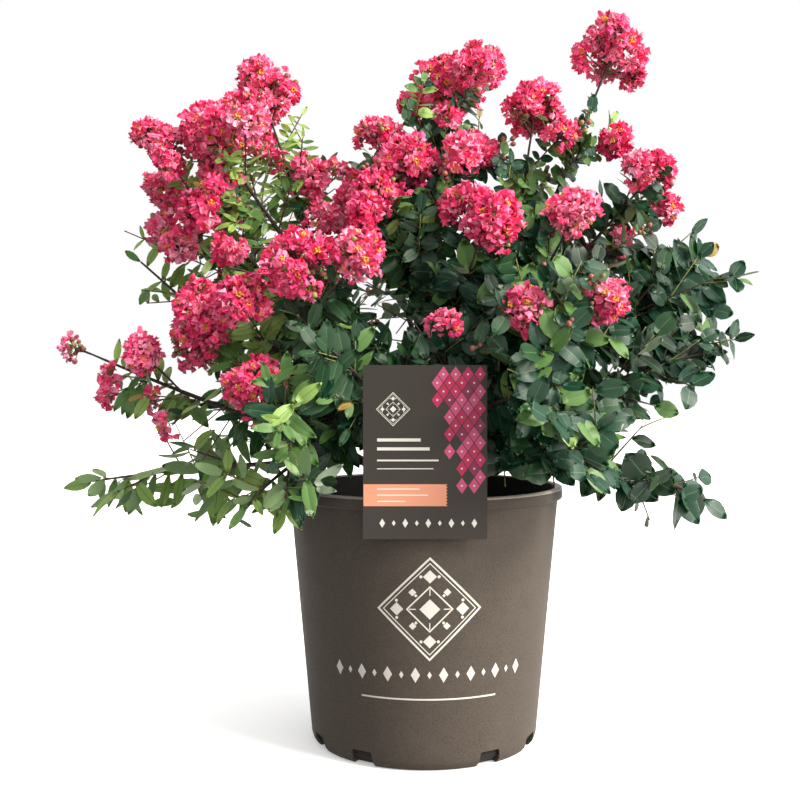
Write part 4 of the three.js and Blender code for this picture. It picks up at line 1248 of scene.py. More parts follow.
# %% [markdown]
# ## Panicles
# A crape myrtle flowers in panicles: loose, blunt cones at the tips of the shoots. Side branches leave the
# panicle's axis a golden angle apart, and each ends in a cluster of three to six florets and some round
# buds. The clusters make the lobes and gaps of the outline. A few have dropped their florets and hold only
# buds. Finer sprigs near the tips of flowering shoots end in a cluster of their own.

# %% Helpers for florets and buds
CLUSTER_OFFSET = 6.4  # from the tip of a side branch to the middle of a floret
STALKS = {"axis": 1.1, "branch": 0.75, "floret": 0.5, "bud": 0.45}  # radii in mm
florets, buds, stalks = [], [], []


def square_pair(axis):
    """Two directions square to an axis and to each other."""
    side = axis.orthogonal().normalized()
    return side, axis.cross(side)


def add_buds(at, axis, count, spread, random):
    """Some round buds about a place, each on its own stalk."""
    for _ in range(count):
        bud_at = at + axis * (spread * 0.4 * random()) + stray(random, spread)
        buds.append((bud_at, (bud_at - at + axis * 4).normalized(), 1.6 + 1.3 * random(), random()))
        stalks.append((at - axis * 6, bud_at, STALKS["bud"]))


def add_cluster(root, at, axis, count, mood, random):
    """A side branch that ends in a few florets round its tip, with buds between them."""
    stalks.append((root, at, STALKS["branch"]))
    side, other = square_pair(axis)
    for i in range(count):
        polar = 0.35 + 1.25 * math.sqrt((i + 0.4 * random()) / count) if count > 1 else 0.2
        facing = leaning(axis, side, other, polar, i * GOLDEN + 0.9 * random())
        floret_at = at + facing * (CLUSTER_OFFSET * (0.75 + 0.5 * random()))
        look = (facing + axis * 0.3 + stray(random, 1.1)).normalized()
        florets.append((floret_at, look, random() * TURN, 0.8 + 0.3 * random(), mood, random()))
        stalks.append((at, floret_at - look * 3, STALKS["floret"]))
    add_buds(at + axis * 2, axis, int(3.6 * random()), 12, random)


print("a floret stands", CLUSTER_OFFSET, "mm from its branch's tip")

# %% Set out the panicles
CLUSTER_ROOM = 680.0  # square millimetres of a panicle's surface for each cluster
FEWEST_CLUSTERS = (1, 3)  # on a panicle of up to 10 mm radius, and on a larger one
CLUSTER_DEEP = 11.0  # about how far inside a panicle's outline its side branches end
NARROWING = 0.12  # how much a panicle narrows from its middle to its top
LUMPS = 0.3  # how far the outline swings in and out
GAP_SHARE = 0.12  # of the clusters, which have dropped their florets
FADED_SHOOT, FADED_SHARE = "far_left", 0.75  # the panicle at this shoot's tip has dropped most of them

for number, bearer in enumerate(panicles):
    random = seeded(9100 + number)
    radius, half, middle, way = (bearer[k] for k in ("bloom", "half", "middle", "way"))
    side, other = square_pair(way)
    count = max(FEWEST_CLUSTERS[radius > 10], round(4 * math.pi * radius * half / CLUSTER_ROOM))
    faded = bearer["leader"] and bearer["shoot"]["name"] == FADED_SHOOT
    dropped = FADED_SHARE if faded else GAP_SHARE if count > 4 else 0
    lumps_from = random() * TURN
    for i in range(count):
        height = min(0.98, 0.98 - 1.75 * (i + 0.3) / count + (random() - 0.5) * 0.3)
        ring = math.sqrt(max(0, 1 - height * height))
        spin = i * GOLDEN + (random() - 0.5) * 1.5
        facing = side * (ring * math.cos(spin)) + other * (ring * math.sin(spin))
        lump = 1 + LUMPS * math.sin(2 * spin + 3 * height + lumps_from)
        room = max(radius - CLUSTER_DEEP, 4) * lump * (1 - NARROWING * height)
        at = middle + facing * (room * (0.55 + 0.7 * random()))
        at += way * (height * max(half - CLUSTER_DEEP, 4) * (0.8 + 0.4 * random()))
        axis = (facing + way * (height + 0.3) + UP * 0.15 + stray(random, 0.3)).normalized()
        root = middle + way * (half * (0.5 * height - 0.45))
        if random() < dropped:
            stalks.append((root, at, STALKS["branch"]))
            add_buds(at, axis, 5 + int(4 * random()), 15, random)
        else:
            add_cluster(root, at, axis, 3 + int(3.6 * random()), bearer["mood"], random)
    stalks.append((middle - way * half, middle + way * half * 0.7, STALKS["axis"]))
print(len(florets), "florets and", len(buds), "buds on the panicles")

# %% [markdown]
# ## Sprigs and leaves
# The imported model stops at twigs with large leaves. A real twig goes on: at its joints it bears pairs of
# leaves, and in some axils a finer sprig with pairs of its own. The pairs of one spray lie nearly in one
# plane, which faces outward and up to the light, so a spray reads as a row of whole leaves and not of edges.
# Leaves are mostly 15 to 35 mm long, broad on the right, narrower on the left, and small among the flowers.
# No two sprays are alike: each has its own fullness, and its green comes from where it grows. The greens are
# darker deep inside the crown and low down, partly as older leaves and partly as painted shade, and deeper on
# the right, as painted shade.

# %% Say how the sprays differ
# Gaps between the sprays, where the sky shows: place across, height and radius.
OPENINGS = (
    (-203, 324, 20), (-285, 258, 22), (-256, 262, 16), (-283, 386, 24), (246, 266, 20), (287, 275, 50),
    (228, 247, 11), (252, 246, 14), (-298, 298, 14), (139, 581, 24), (192, 564, 22), (-90, 557, 20),
    (-258, 419, 13), (-240, 376, 18), (-212, 338, 13), (-290, 368, 14), (222, 458, 15),
)
# Sprays that let the sky through: the share of the sprigs and leaves that they keep.
FULLNESS = {
    "low_right": 0.5, "right_mid": 0.38, "right_dome": 0.42, "left_twig": 0.4, "far_left": 0.5,
    "low_left": 0.45, "top_left": 0.32, "upper_left": 0.4, "left_outer": 0.35, "spire": 0.5,
    "top_mid": 0.45, "upper_right": 0.55, "right_upper": 0.5, "left_front": 0.7, "left_skirt": 0.7,
    "back_left_low": 0.5, "back_right_low": 0.45, "back_left": 0.55, "back_right": 0.5,
    "left_mid": 0.7, "left_low": 0.7, "inner_right": 0.85, "back_top": 0.75, "centre": 0.85,
}
USUAL_LEAF = 27.0
LONG_LEAVED = {"low_left": 1.3, "low_right": 1.1, "left_skirt": 1.1}  # against the usual length
# Leaves of flowering shoots shrink from the first height on, over the second, by the third as a share.
FLOWER_ZONE = (400.0, 120.0, 0.42)
CROWN_REACH, CROWN_FOOT = 260.0, 200.0  # the crown's radius, and the height of its lowest leaves
GREEN_RISE = 800.0  # how slowly the greens grow paler with height: fresher growth higher up, and painted shade low down
LOW_SPRAYS, TOP_SPRAYS = 270.0, 450.0  # heights below and above which sprays have a green of their own
LEFT_SPRAYS, RIGHT_SPRAYS = -100.0, 130.0  # and places across
BLUE_FROM = 20.0  # the place across from which the middle greens are the bluer one
LOW_PALER, LEFT_PALER = 0.44, 0.28  # the leaves on the left are younger, most of all low down
# On the right the greens are deepened as painted shade, where the side lamp falls strongest; above the top
# sprays they are paler.
RIGHT_SHADE_PAINT, TOP_PALER = 0.24, 0.12
GREEN_STEPS = (0.26, 0.46, 0.62, 0.86)
DEEP, MID, BLUE, FRESH, YOUNG, BRONZE = range(6)


def breadth(azimuth):
    """How broad the leaves are at a bearing: 1 on the right and 0 on the left."""
    return 0.5 + 0.5 * math.cos(math.radians(azimuth))


def leaf_length(shoot, point):
    """The usual length of a leaf at a place on a shoot."""
    start, over, least = FLOWER_ZONE
    smaller = least * min(max((point.z - start) / over, 0), 1) if shoot["blooms"] else 0
    return USUAL_LEAF * (1 - smaller) * LONG_LEAVED.get(shoot["name"], 1)


def in_opening(point):
    """True in a gap between the sprays."""
    return any(math.hypot(point.x - x, point.z - z) < radius for x, z, radius in OPENINGS)


def green_of(point, draw):
    """The number of a spray's green: darker deep inside and low, partly as painted shade, fresh outside and
    high, deeper on the right as painted shade, and bluer on the right.
    """
    # Greens darken toward the middle of the crown and low down: partly older leaves, partly painted shade.
    light_and_age = min(1, math.hypot(point.x, point.y) / CROWN_REACH) * 0.5 + (point.z - CROWN_FOOT) / GREEN_RISE
    mixed = 0.5 * draw + 0.5 * light_and_age
    if point.x < LEFT_SPRAYS:
        mixed += LOW_PALER if point.z < LOW_SPRAYS else LEFT_PALER
    elif point.x > RIGHT_SPRAYS and point.z < TOP_SPRAYS:
        mixed -= RIGHT_SHADE_PAINT
    if point.z > TOP_SPRAYS:
        mixed += TOP_PALER
    kind = sum(mixed > step for step in GREEN_STEPS)
    return (BLUE if point.x > BLUE_FROM else MID) if kind in (MID, BLUE) else kind


print("a leaf low on the left is", round(leaf_length(shoots["low_left"], place(180, 250, 230))), "mm long")

# %% [markdown]
# One leaf is a way, a face and a shape. It leaves its joint at a wide angle, droops a little, and turns its
# upper side to the light, give or take. It is dropped again where the rules of room forbid it.

# %% Helper for a leaf
HANG = 0.35  # how far a leaf may droop, against its own length
LEAF_SPREAD, SPREAD_MORE = 50, 24  # degrees between a leaf and its twig
LEAF_STRAY = 0.95  # how far a leaf's face turns away from its spray's
LEAF_WIDTH, WIDTH_RIGHT, WIDTH_MORE = 0.28, 0.31, 0.1  # against its length: all, on the right, by chance
SMALL_LEAF = 17.0  # leaves no longer than this may stand in an opening, close to their twig
TURNED_SHARE = 0.38  # of the leaves of the low left sprays, which show their undersides
TURNED_TO = -60.0  # the place across up to which they do
SPRAY_GREEN = 0.75  # share of the leaves with their spray's own green
BRONZE_LENGTH, BRONZE_SHARE = 20.0, 0.2  # of the short leaves at a tip, which are very young
leaves = []


def add_leaf(bearer, point, along, lift, hand, length, green, random):
    """One leaf at a joint. hand is 1 or -1 for its side of the twig, and 0 at the twig's tip."""
    side = lift.cross(along)
    side = side.normalized() if side.length > 0.1 else along.orthogonal().normalized()
    level = along.cross(side)
    spin, spread = (random() - 0.5) * 0.7, math.radians(LEAF_SPREAD + SPREAD_MORE * random())
    aside = side * (hand * math.cos(spin)) + level * math.sin(spin)
    way = along * math.cos(spread) + aside * math.sin(spread) if hand else along
    way = (way - UP * (HANG * random())).normalized()
    face_to = lift + stray(random, LEAF_STRAY)
    if point.z < LOW_SPRAYS and point.x < TURNED_TO and random() < TURNED_SHARE:
        face_to = -face_to
    across = face_to.cross(way)
    if across.length < 0.05:
        return
    across.normalize()
    width = length * (LEAF_WIDTH + WIDTH_RIGHT * breadth(bearer["shoot"]["azimuth"]) + WIDTH_MORE * random())
    tip, middle = point + way * length, point + way * (length / 2)
    sides = [middle + across * (width / 2 * h) for h in (-1, 1)]
    if not all(is_free(p) for p in (middle, tip, *sides)) or not within(bearer, tip):
        return
    if in_panicle(tip) or hides_panicle(middle, 0.85):
        return
    if length > SMALL_LEAF and (in_opening(middle) or in_opening(tip)):
        return
    shape = (length, width, random(), random(), random(), random(), random())
    own = green if random() < SPRAY_GREEN else min(YOUNG, max(DEEP, green + (1 if random() < 0.5 else -1)))
    if not hand and length < BRONZE_LENGTH and random() < BRONZE_SHARE:
        own = BRONZE
    leaves.append((point, way, across, way.cross(across), shape, own))


print("the low left leaves that are turned:", TURNED_SHARE)

# %% [markdown]
# A twig is dressed joint by joint. Each joint may bear a leaf on both sides and a sprig in either axil, and
# a sprig is dressed the same way, so the function that dresses a twig calls itself once.

# %% Dress the twigs
JOINTS_PER_LEAF = 0.4  # distance between pairs, in lengths of a leaf
SPRIG_CHANCE = 0.42
SPRIG_LENGTH = 34.0
SPRIG_LEAN, SPRIG_LEAN_MORE = 34, 22  # degrees
SPRIG_RADII = (0.75, 0.5)
FEW_FLOWERS = (0.5, 0.35)  # where on a limb sprigs begin to flower, and the share of them that do
MANY_FLOWERS = (0.3, 0.45)
IN_FULL_FLOWER = ("top_left", "upper_left", "left_outer")
BUD_SHARE = 0.3  # of the sprigs on a flowering limb that end in buds
LAST_JOINT, UNDER_PANICLE = 0.94, 0.8  # the place of the last pair, and under a panicle
OPEN_SIDE = Vector((0.3, -0.85, 0.55))  # the plant grew with its front to the light, so its leaves turn there
BACK_LIGHT = UP * 0.8
sprigs = []


def add_sprig(bearer, point, along, lift, hand, share, age, random):
    """A sprig in an axil, with florets, buds or leaves. age is 0 for the twig's first joint, toward 1."""
    shoot = bearer["shoot"]
    side = lift.cross(along).normalized() * hand + stray(random, 0.9)
    lean = math.radians(SPRIG_LEAN + SPRIG_LEAN_MORE * random())
    way = (along * math.cos(lean) + side.normalized() * math.sin(lean) + UP * 0.3).normalized()
    end = point + way * (SPRIG_LENGTH * (1.25 - 0.5 * age) * (0.75 + 0.5 * random()))
    if not is_free(end) or in_panicle(end, 0.9) or not within(bearer, end) or in_opening(end):
        return
    sprig = limb_line(point, end, 0.05 - 0.12 * random(), 12)
    sprigs.append(sprig)
    heading = frame_at(sprig, 1)[1]
    zone, chance = MANY_FLOWERS if shoot["name"] in IN_FULL_FLOWER else FEW_FLOWERS
    flowers = shoot["blooms"] > 2 and share > zone and random() < chance
    if flowers:
        add_cluster(frame_at(sprig, 0.8)[0], end, heading, 4 + int(3 * random()), random(), random)
        add_buds(end, heading, int(3 * random()), 14, random)
    elif shoot["blooms"] and random() < BUD_SHARE:
        add_buds(end, heading, 3 + int(3 * random()), 12, random)
    if not flowers or random() < 0.5:
        dress(bearer, sprig, 0, True, random)


def dress(bearer, line, start, is_sprig, random):
    """Sets pairs of leaves along a twig or sprig, sprigs in some of a twig's axils, and a leaf at its tip."""
    shoot = bearer["shoot"]
    full = FULLNESS.get(shoot["name"], 1)
    halfway = frame_at(line, 0.6)[0]
    usual = leaf_length(shoot, halfway)
    joints = max(2, round(line["length"] * (1 - start) / (usual * JOINTS_PER_LEAF)))
    green = green_of(halfway, random())
    outward = Vector((halfway.x, halfway.y, 0)).normalized()
    lift = outward * (0.2 + 0.4 * random()) + (OPEN_SIDE if halfway.y < BACK_HALF else BACK_LIGHT)
    lift = (lift + stray(random, 1.2)).normalized()
    last = UNDER_PANICLE if bearer["bloom"] and not is_sprig else LAST_JOINT
    for k in range(joints):
        share = between(start, 1, between(0.1, last, k / (joints - 1)))
        point, along = frame_at(line, share)[:2]
        size = usual * (1.15 - 0.35 * k / joints) * (0.7 + 0.55 * random())
        for hand in (1, -1):
            if random() < 0.42 + 0.5 * full:
                add_leaf(bearer, point, along, lift, hand, size * (0.92 + 0.16 * random()), green, random)
            if not is_sprig and random() <= SPRIG_CHANCE * full:
                add_sprig(bearer, point, along, lift, hand, share, k / joints, random)
    tip, along = frame_at(line, 1)[:2]
    if is_sprig and not in_panicle(tip, 1.0) or not bearer["bloom"]:
        add_leaf(bearer, tip, along, lift, 0, usual * (0.65 + 0.35 * random()), green, random)


bearers = [b for b in bearers if b["leader"] or b["bloom"] or not in_opening(frame_at(b["line"], 1)[0])]
for number, bearer in enumerate(bearers):
    dress(bearer, bearer["line"], bearer["from"], False, seeded(3000 + number))
print(len(sprigs), "sprigs,", len(leaves), "leaves and", len(florets), "florets")

# %% [markdown]
# ## Petals
# A floret has six petals, each a round, crumpled blade on a thin claw. The petal is worked out as a flat fan
# of points, which is then crumpled two dozen ways, with waves that grow toward its edge. Each floret takes
# six of these at random, so no two look alike.

# %% Crumple the petals
PETAL_ROWS = 3
PETAL_COLUMNS = 5
PETAL_REACH = 10.0
CLAW_LENGTH = 3.7
BLADE_HALF = 4.5
CRUMPLES = 24


def crumpled_petal(random):
    """Points of one petal: outward along x, across along y, and toward the light along z."""
    points = [(0.8, -0.35, 0), (0.8, 0.35, 0), (CLAW_LENGTH, -0.4, 1.2), (CLAW_LENGTH, 0.4, 1.2)]
    phase, folds, ripple = random() * TURN, 1.5 + 1.3 * random(), random() * TURN
    cup, lean = 1.8 * random() - 0.3, (random() - 0.5) * 1.6
    for row in range(PETAL_ROWS):
        t = (row + 0.55) / (PETAL_ROWS - 0.45)
        half = BLADE_HALF * math.sin(math.pi * (0.1 + 0.62 * t)) * (0.9 + 0.2 * random())
        for column in range(PETAL_COLUMNS):
            v = 2 * column / (PETAL_COLUMNS - 1) - 1
            wave = math.sin(TURN * folds * v / 2 + phase + 1.2 * t)
            torn, rough = random() - 0.5, random() - 0.5
            reach = CLAW_LENGTH + (PETAL_REACH - CLAW_LENGTH) * t * (1 - 0.34 * v * v)
            x = reach + t * (0.6 * math.sin(4 * v + ripple) + 2.9 * torn)
            y = half * v * (1 - 0.14 * abs(wave)) + 1.7 * rough
            z = 1.5 + cup * t * (1 - 1.4 * v * v) + (0.5 + 2.0 * t) * wave + lean * v * t + 2.8 * t * rough
            points.append((x, y, z))
    return points


def petal_triangles():
    """Two triangles for the claw, a fan where it meets the blade, and the blade's grid."""
    first, half = 4, PETAL_COLUMNS // 2
    fan = [(2, first + k + 1, first + k) for k in range(half - 1)]
    fan += [(2, 3, first + half - 1), (3, first + half, first + half - 1)]
    fan += [(3, first + k + 1, first + k) for k in range(half, PETAL_COLUMNS - 1)]
    grid = ring_triangles(PETAL_ROWS, PETAL_COLUMNS, closed=False)[:, ::-1] + first
    return np.concatenate([np.array([(0, 1, 3), (0, 3, 2)] + fan), grid])


petal_random = seeded(77)
petal_shapes = np.array([crumpled_petal(petal_random) for _ in range(CRUMPLES)])
petal_faces = petal_triangles()
print(len(petal_shapes), "petals of", len(petal_faces), "triangles")

# %% [markdown]
# All the petals are placed at once, as arrays. Each copy is multiplied by its own frame, three directions
# square to one another, and moved to its floret. A petal droops a little, lies flat, or is half closed.

# %% Place the petals
PETALS = 6
PETAL_SWING, PETAL_RISE, PETAL_SIZE = 0.22, (-0.3, 0.95), (0.85, 1.12)


def square_to(axes):
    """Two directions square to each of many, as arrays."""
    helper = np.where(np.abs(axes[:, 2:3]) > 0.9, [[1.0, 0, 0]], [[0, 0, 1.0]])
    first = np.cross(axes, helper)
    first /= np.linalg.norm(first, axis=1, keepdims=True)
    return first, np.cross(axes, first)


floret_at, floret_axis = rows(f[0] for f in florets), rows(f[1] for f in florets)
floret_spin, floret_size, floret_mood, floret_tint = np.array([f[2:] for f in florets]).T
first_way, second_way = square_to(floret_axis)
each_petal = (len(florets), PETALS)
petal_spin = floret_spin[:, None] + np.arange(PETALS) * TURN / PETALS
petal_spin = petal_spin + rng.uniform(-PETAL_SWING, PETAL_SWING, each_petal)
rise = rng.uniform(*PETAL_RISE, each_petal)[..., None]
out = np.cos(petal_spin)[..., None] * first_way[:, None] + np.sin(petal_spin)[..., None] * second_way[:, None]
petal_x = np.cos(rise) * out + np.sin(rise) * floret_axis[:, None]
petal_z = np.cos(rise) * floret_axis[:, None] - np.sin(rise) * out
petal_frames = np.stack([petal_x, np.cross(petal_z, petal_x), petal_z], 2).reshape(-1, 3, 3)
petal_size = np.repeat(floret_size, PETALS) * rng.uniform(*PETAL_SIZE, len(florets) * PETALS)
chosen = petal_shapes[rng.integers(0, CRUMPLES, len(florets) * PETALS)] * petal_size[:, None, None]
petals = chosen @ petal_frames + np.repeat(floret_at, PETALS, 0)[:, None]
print(len(petals), "petals on", len(florets), "florets")

# %% [markdown]
# Petals are thin, soft and slightly velvety, with a fine crinkle like crêpe. Some light passes through
# them. The pinks are dealt out petal by petal, leaning with their floret and their panicle.

# %% Colour the petals
PINKS = {
    "petal_pale": "#ffa4c0", "petal_light": "#ff7ca4", "petal_raspberry": "#fe5089", "petal_deep": "#dc2b6b",
}
PINK_STEPS = (0.3, 0.52, 0.74)
MOST_TRIANGLES = 190000  # in one piece
PETAL_SKIN = {
    "Sheen Weight": 0.1, "Sheen Roughness": 0.4,
    "Subsurface Weight": 0.15, "Subsurface Radius": (0.004, 0.0012, 0.0018), "Subsurface Scale": 1.0,
}
pinks = [grained(name, pink, 0.55, 1.42, 1.3, 2, (0.6, 0.35), PETAL_SKIN) for name, pink in PINKS.items()]
moods = np.repeat(0.25 * floret_mood + 0.35 * floret_tint, PETALS) + 0.4 * rng.uniform(0, 1, len(petals))
petal_pink = np.searchsorted(PINK_STEPS, moods)
batches = math.ceil(len(petals) * len(petal_faces) / MOST_TRIANGLES)
for number, batch in enumerate(np.array_split(np.arange(len(petals)), batches)):
    blossom = Gathered()
    blossom.add_copies(petals[batch], petal_faces, petal_pink[batch])
    make_piece(f"petals_{number + 1}", blossom, pinks, smooth=False)

# %% [markdown]
# ## Stamens, cups and buds
# These are small, so each is a few faces: a tuft of fine filaments with golden heads, a four-sided cup, and
# a round ribbed bud. In a crowded panicle most tufts are hidden by the next floret's petals, so only about
# three florets in ten are given one. Each surface is one colour with a fine uneven skin.

# %% Helper for small parts
# name: colour, roughness, size of the grain in mm
SMALL_PARTS = {
    "stamen_filament": ("#f5bd62", 0.6, 1.0), "anther_gold": ("#fab04a", 0.7, 0.6),
    "bud_green": ("#8d8a50", 0.45, 1.5), "bud_blush": ("#9a5a50", 0.45, 1.5),
    "bud_maroon": ("#602334", 0.5, 1.5),
}
small = {
    name: grained(name, hex_value, roughness, 1.45, grain, 2, (0.3, 0.2))
    for name, (hex_value, roughness, grain) in SMALL_PARTS.items()
}


def ball(sides, bands, ribs=0.0):
    """A small ball as rings of points from pole to pole along z, with its triangles."""
    points = [(0, 0, -1)]
    for band in range(1, bands):
        polar = math.pi * band / bands
        for side in range(sides):
            angle = TURN * side / sides
            radius = math.sin(polar) * (1 + ribs * (1 if side % 2 else -1))
            points.append((radius * math.cos(angle), radius * math.sin(angle), -math.cos(polar)))
    points.append((0, 0, 1))
    middle = ring_triangles(bands - 1, sides) + 1
    bottom = fan_triangles(1, 0, sides, flip=True)
    top = fan_triangles(1 + (bands - 2) * sides, len(points) - 1, sides)
    return np.array(points), np.concatenate([middle, bottom, top])


print("a bud has", len(ball(6, 4)[1]), "triangles")

# %% Make the stamens
STAMENS = 12
STAMEN_LENGTH, STAMEN_MORE = 4.2, 2.2
FILAMENT_HALF = 0.25
ANTHER = (0.95, 0.95, 1.15)  # half its width, depth and length
TUFTS = 4  # kinds
TUFT_SHARE = 0.3  # of the florets, which show theirs
head_points, head_faces = ball(4, 2)


def stamen_tuft(random):
    """One tuft: fine filaments that spread from the middle, each with a golden head."""
    tuft = Gathered()
    for k in range(STAMENS):
        spin, spread = k * GOLDEN, 0.1 + 0.5 * random()
        out = math.sin(spread)
        way = np.array((out * math.cos(spin), out * math.sin(spin), math.cos(spread)))
        side = np.array((-math.sin(spin), math.cos(spin), 0)) * FILAMENT_HALF
        head = way * (STAMEN_LENGTH + STAMEN_MORE * random())
        tuft.add([side, -side, head + side, head - side], [(0, 1, 3), (0, 3, 2)], 0)
        tuft.add(head_points * ANTHER + head, head_faces, 1)
    return np.concatenate(tuft.points), np.concatenate(tuft.triangles), np.concatenate(tuft.kinds)


tuft_random = seeded(5)
tufts = [stamen_tuft(tuft_random) for _ in range(TUFTS)]
has_tuft = rng.uniform(0, 1, len(florets)) < TUFT_SHARE
tuft_choice = np.where(has_tuft, rng.integers(0, TUFTS, len(florets)), -1)
floret_frames = np.stack([first_way, second_way, floret_axis], 1)
stamens = Gathered()
for choice, (points, faces, kinds) in enumerate(tufts):
    mine = tuft_choice == choice
    placed = points @ floret_frames[mine] * floret_size[mine][:, None, None] + floret_at[mine][:, None]
    stamens.add_copies(placed, faces, np.broadcast_to(kinds, (mine.sum(), len(kinds))))
make_piece("stamens", stamens, [small["stamen_filament"], small["anther_gold"]])

# %% Make the cups and buds
CUP_PROFILE = ((0.6, -3.4), (2.0, -0.8), (2.0, 0.9))
CUP_SIDES = 4
CUP_MIDDLE = 0.2
BUD_LONG = 1.12
BUD_RIBS = 0.04
BUD_STEPS = (0.25, 0.75)  # shares of green, blushed and maroon buds
cup_points = np.concatenate([turned_points(CUP_PROFILE, CUP_SIDES), [[0, 0, CUP_MIDDLE]]])
rim_at = (len(CUP_PROFILE) - 1) * CUP_SIDES
cup_lid = fan_triangles(rim_at, rim_at + CUP_SIDES, CUP_SIDES)
cup_faces = np.concatenate([ring_triangles(len(CUP_PROFILE), CUP_SIDES), cup_lid])
cups = cup_points @ floret_frames + (floret_at - floret_axis * 0.2)[:, None]
bud_points, bud_faces = ball(6, 4, BUD_RIBS)
bud_axis, bud_size = rows(b[1] for b in buds), np.array([b[2] for b in buds])
bud_frames = np.stack([*square_to(bud_axis), bud_axis], 1)
bud_kind = np.searchsorted(BUD_STEPS, [b[3] for b in buds])
placed_buds = bud_points * (1, 1, BUD_LONG) @ bud_frames * bud_size[:, None, None]
small_parts = Gathered()
small_parts.add_copies(cups, cup_faces, rng.integers(0, 2, len(florets)))
small_parts.add_copies(placed_buds + rows(b[0] for b in buds)[:, None], bud_faces, bud_kind)
bud_materials = [small[name] for name in ("bud_green", "bud_blush", "bud_maroon")]
make_piece("buds_and_cups", small_parts, bud_materials)

# %% [markdown]
# ## Making the leaves
# A leaf is two thin sheets that meet at its edge: the glossy upper side, with a pale midrib and halves that
# bulge up from it, and the paler underside. All the leaves are bent, folded, waved and twisted at once, as
# arrays, each by its own numbers.

# %% Shape the leaves
LEAF_ROWS = np.array((0.1, 0.3, 0.52, 0.74, 0.92))
UPPER_COLUMNS = np.array((-1, -0.5, -0.04, 0.04, 0.5, 1))
LOWER_COLUMNS = np.array((-1, 0, 1))
LEAF_THICK = 0.3


def leaf_points(shape, columns, under):
    """Points of one side of every leaf, in the leaf's own directions: way, side and face."""
    length, width, oval, fold, curl, wave, twist = (column[:, None, None] for column in shape.T)
    t = np.concatenate([[0], np.repeat(LEAF_ROWS, len(columns)), [1]])[None, :, None]
    c = np.concatenate([[0], np.tile(columns, len(LEAF_ROWS)), [0]])[None, :, None]
    half = 0.5 * width * np.sin(math.pi * t ** (0.82 + 0.35 * oval)) ** 0.78 * (t > 0) * (t < 1)
    y = c * half
    folded = np.tan(0.06 + 0.36 * fold)
    z = np.abs(y) * folded * (1 - 0.35 * np.abs(c)) - 0.3 * folded * half * (np.abs(c) > 0.9)
    z = z + 0.07 * width * (wave - 0.3) * np.abs(c) * np.sin(8 * t + 20 * oval + 2 * np.sign(c))
    z = z - under * LEAF_THICK * (np.abs(c) < 0.5) * (t > 0) * (t < 1)
    turn = 0.5 * (twist - 0.5) * t
    y, z = y * np.cos(turn) - z * np.sin(turn), y * np.sin(turn) + z * np.cos(turn)
    bend = 0.95 * curl - 0.25
    bend = np.where(np.abs(bend) < 1e-3, 1e-3, bend)  # a straight leaf would divide by nothing
    x = length * np.sin(bend * t) / bend + z * np.sin(bend * t)
    drop = -length * (1 - np.cos(bend * t)) / bend + z * np.cos(bend * t)
    return np.concatenate([x, y + 0 * x, drop], -1)


def leaf_triangles(columns):
    """Fans at the base and the tip, and the grid between them, facing up."""
    wide, last = len(columns), 1 + (len(LEAF_ROWS) - 1) * len(columns)
    tip = last + wide
    fans = [(0, 1 + k, 2 + k) for k in range(wide - 1)]
    fans += [(last + k, tip, last + k + 1) for k in range(wide - 1)]
    return np.concatenate([np.array(fans), ring_triangles(len(LEAF_ROWS), wide, closed=False) + 1])


leaf_at, *leaf_ways = (rows(leaf[k] for leaf in leaves) for k in range(4))
leaf_frames = np.stack(leaf_ways, 1)
leaf_shape, leaf_green = np.array([leaf[4] for leaf in leaves]), np.array([leaf[5] for leaf in leaves])
upper, lower = (
    leaf_points(leaf_shape, columns, under) @ leaf_frames + leaf_at[:, None]
    for under, columns in enumerate((UPPER_COLUMNS, LOWER_COLUMNS))
)
upper_faces, lower_faces = leaf_triangles(UPPER_COLUMNS), leaf_triangles(LOWER_COLUMNS)[:, ::-1]
print("a leaf has", len(upper_faces) + len(lower_faces), "triangles")

# %% [markdown]
# The upper side of a leaf is waxy and satin, and a shallow bump stands for its net of veins. The underside
# is paler and matt. Greens run from old deep leaves to young fresh ones, with a rare bronze at a tip. The
# midrib is a colour of its own, on the faces between the two middle columns of points.

# %% Colour the leaves
LEAF_GREENS = {
    "leaf_deep": "#132a1a", "leaf_mid": "#214126", "leaf_blue": "#123a27", "leaf_fresh": "#577b3e",
    "leaf_young": "#86a552", "leaf_bronze": "#9a7f3c",
}
LEAF_UNDERS = {"leaf_under_grey": "#93a489", "leaf_under_green": "#84a06c"}
RIB = len(LEAF_GREENS) + len(LEAF_UNDERS)
VEIN_MESH = 2.6  # mm between the veins of the net
GLOSS_PATCH = 14  # mm across a patch of duller wax
leaf_materials = []
for name, hex_value in {**LEAF_GREENS, **LEAF_UNDERS, "leaf_midrib": "#466a43"}.items():
    under = name.startswith("leaf_under")
    leaf, tree = start_material(name, hex_value, 0.62 if under else 0.38, 1.45, {
        "Coat Weight": 0.0 if under else 0.08, "Coat Roughness": 0.4, "Specular IOR Level": 0.35,
        "Subsurface Weight": 0.1, "Subsurface Radius": (0.001, 0.003, 0.0006), "Subsurface Scale": 1.0,
    })
    veins = add_node(tree, "TexVoronoi", {"Scale": per_mm(VEIN_MESH)}, feature="DISTANCE_TO_EDGE")
    patches = add_node(tree, "TexNoise", {"Scale": per_mm(GLOSS_PATCH), "Detail": 2})
    low = 0.5 if under else 0.3
    vary(tree, veins.outputs["Distance"], bump=(0.35, 0.25))
    vary(tree, patches.outputs[0], gloss=(low, low + 0.22))
    leaf_materials.append(leaf)

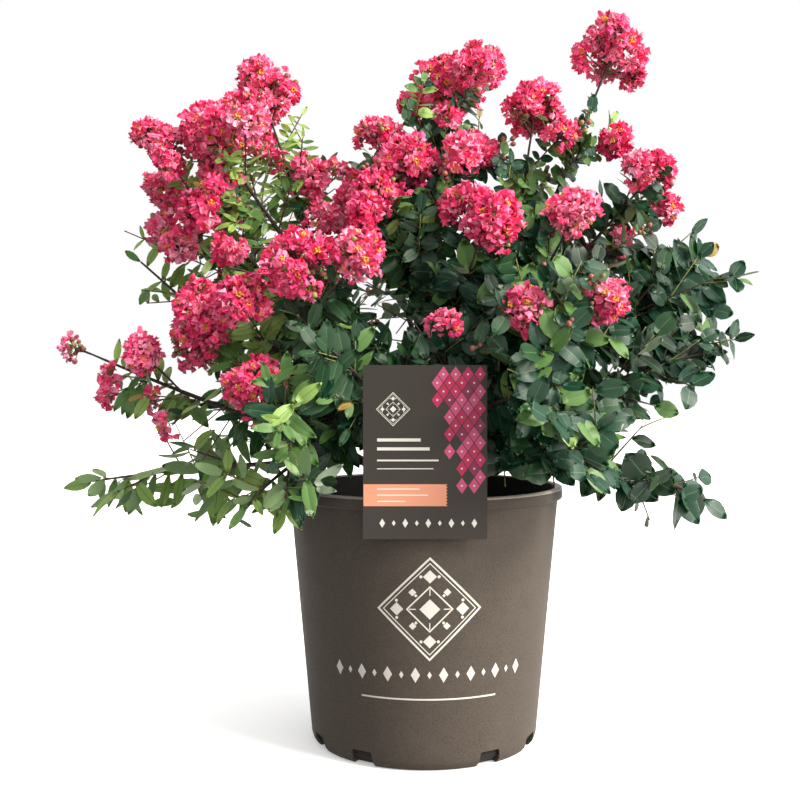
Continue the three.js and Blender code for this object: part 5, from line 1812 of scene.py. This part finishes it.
column_of = np.concatenate([[0], np.tile(UPPER_COLUMNS, len(LEAF_ROWS)), [0]])
on_rib = (np.abs(column_of[upper_faces]) < 0.1).all(1)
upper_kind = np.where(on_rib, RIB, leaf_green[:, None])
lower_kind = len(LEAF_GREENS) + (leaf_green >= FRESH).astype(int)
left_half = leaf_at[:, 0] < np.median(leaf_at[:, 0])
mass_nodes = [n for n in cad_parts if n.startswith("mass_")]
left_masses = [n for n in mass_nodes if sum(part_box(n), Vector()).x < 0]
right_masses = [n for n in mass_nodes if n not in left_masses]
halves = {"leaves_left": (left_half, left_masses), "leaves_right": (~left_half, right_masses)}
for name, (mine, replaced) in halves.items():
    foliage = Gathered()
    foliage.add_copies(upper[mine], upper_faces, upper_kind[mine])
    foliage.add_copies(lower[mine], lower_faces, lower_kind[mine])
    make_piece(name, foliage, leaf_materials, replaced)

# %% [markdown]
# ## Twigs, sprigs and stalks
# The finest wood comes last, because by now it is known which twigs and sprigs bear something. Leaders keep
# their bark, twigs have a red-brown rind, sprigs are greener, and the stalks of the florets are thin
# three-sided tubes.

# %% Make the twigs and stalks
SLENDER = 0.6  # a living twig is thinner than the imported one, which must stay strong enough to print
RED_FROM = 0.7  # radius of the thinnest stalk with a red rind
STALK_SAG, STALK_TAPER = -0.05, 0.75
TWIG_RELIEF = 0.05
twigs = Gathered()


def tapering(start, foot, tip):
    """A radius that falls evenly from a foot, at a starting share of the line, to the tip."""
    return lambda share: between(foot, tip, (share - start) / (1 - start))


for number, bearer in enumerate(bearers):
    start, leader = bearer["from"], bearer["leader"]
    radius_at = tapering(start, bearer["foot"] * (1 if leader else SLENDER), bearer["tip"] * SLENDER)
    kind, sides = (OLD, 6) if leader else (RED, 5)
    add_tube(twigs, bearer["line"], start, 1, radius_at, sides, 5, kind, TWIG_RELIEF, number)
for line in sprigs:
    add_tube(twigs, line, 0, 1, tapering(0, *SPRIG_RADII), 4, 9, GREEN)
for root, end, radius in stalks:
    line, kind = limb_line(root, end, STALK_SAG, 6), RED if radius > RED_FROM else GREEN
    add_tube(twigs, line, 0, 1, tapering(0, radius, STALK_TAPER * radius), 3, 12, kind)
make_piece("twigs_and_stalks", twigs, barks)
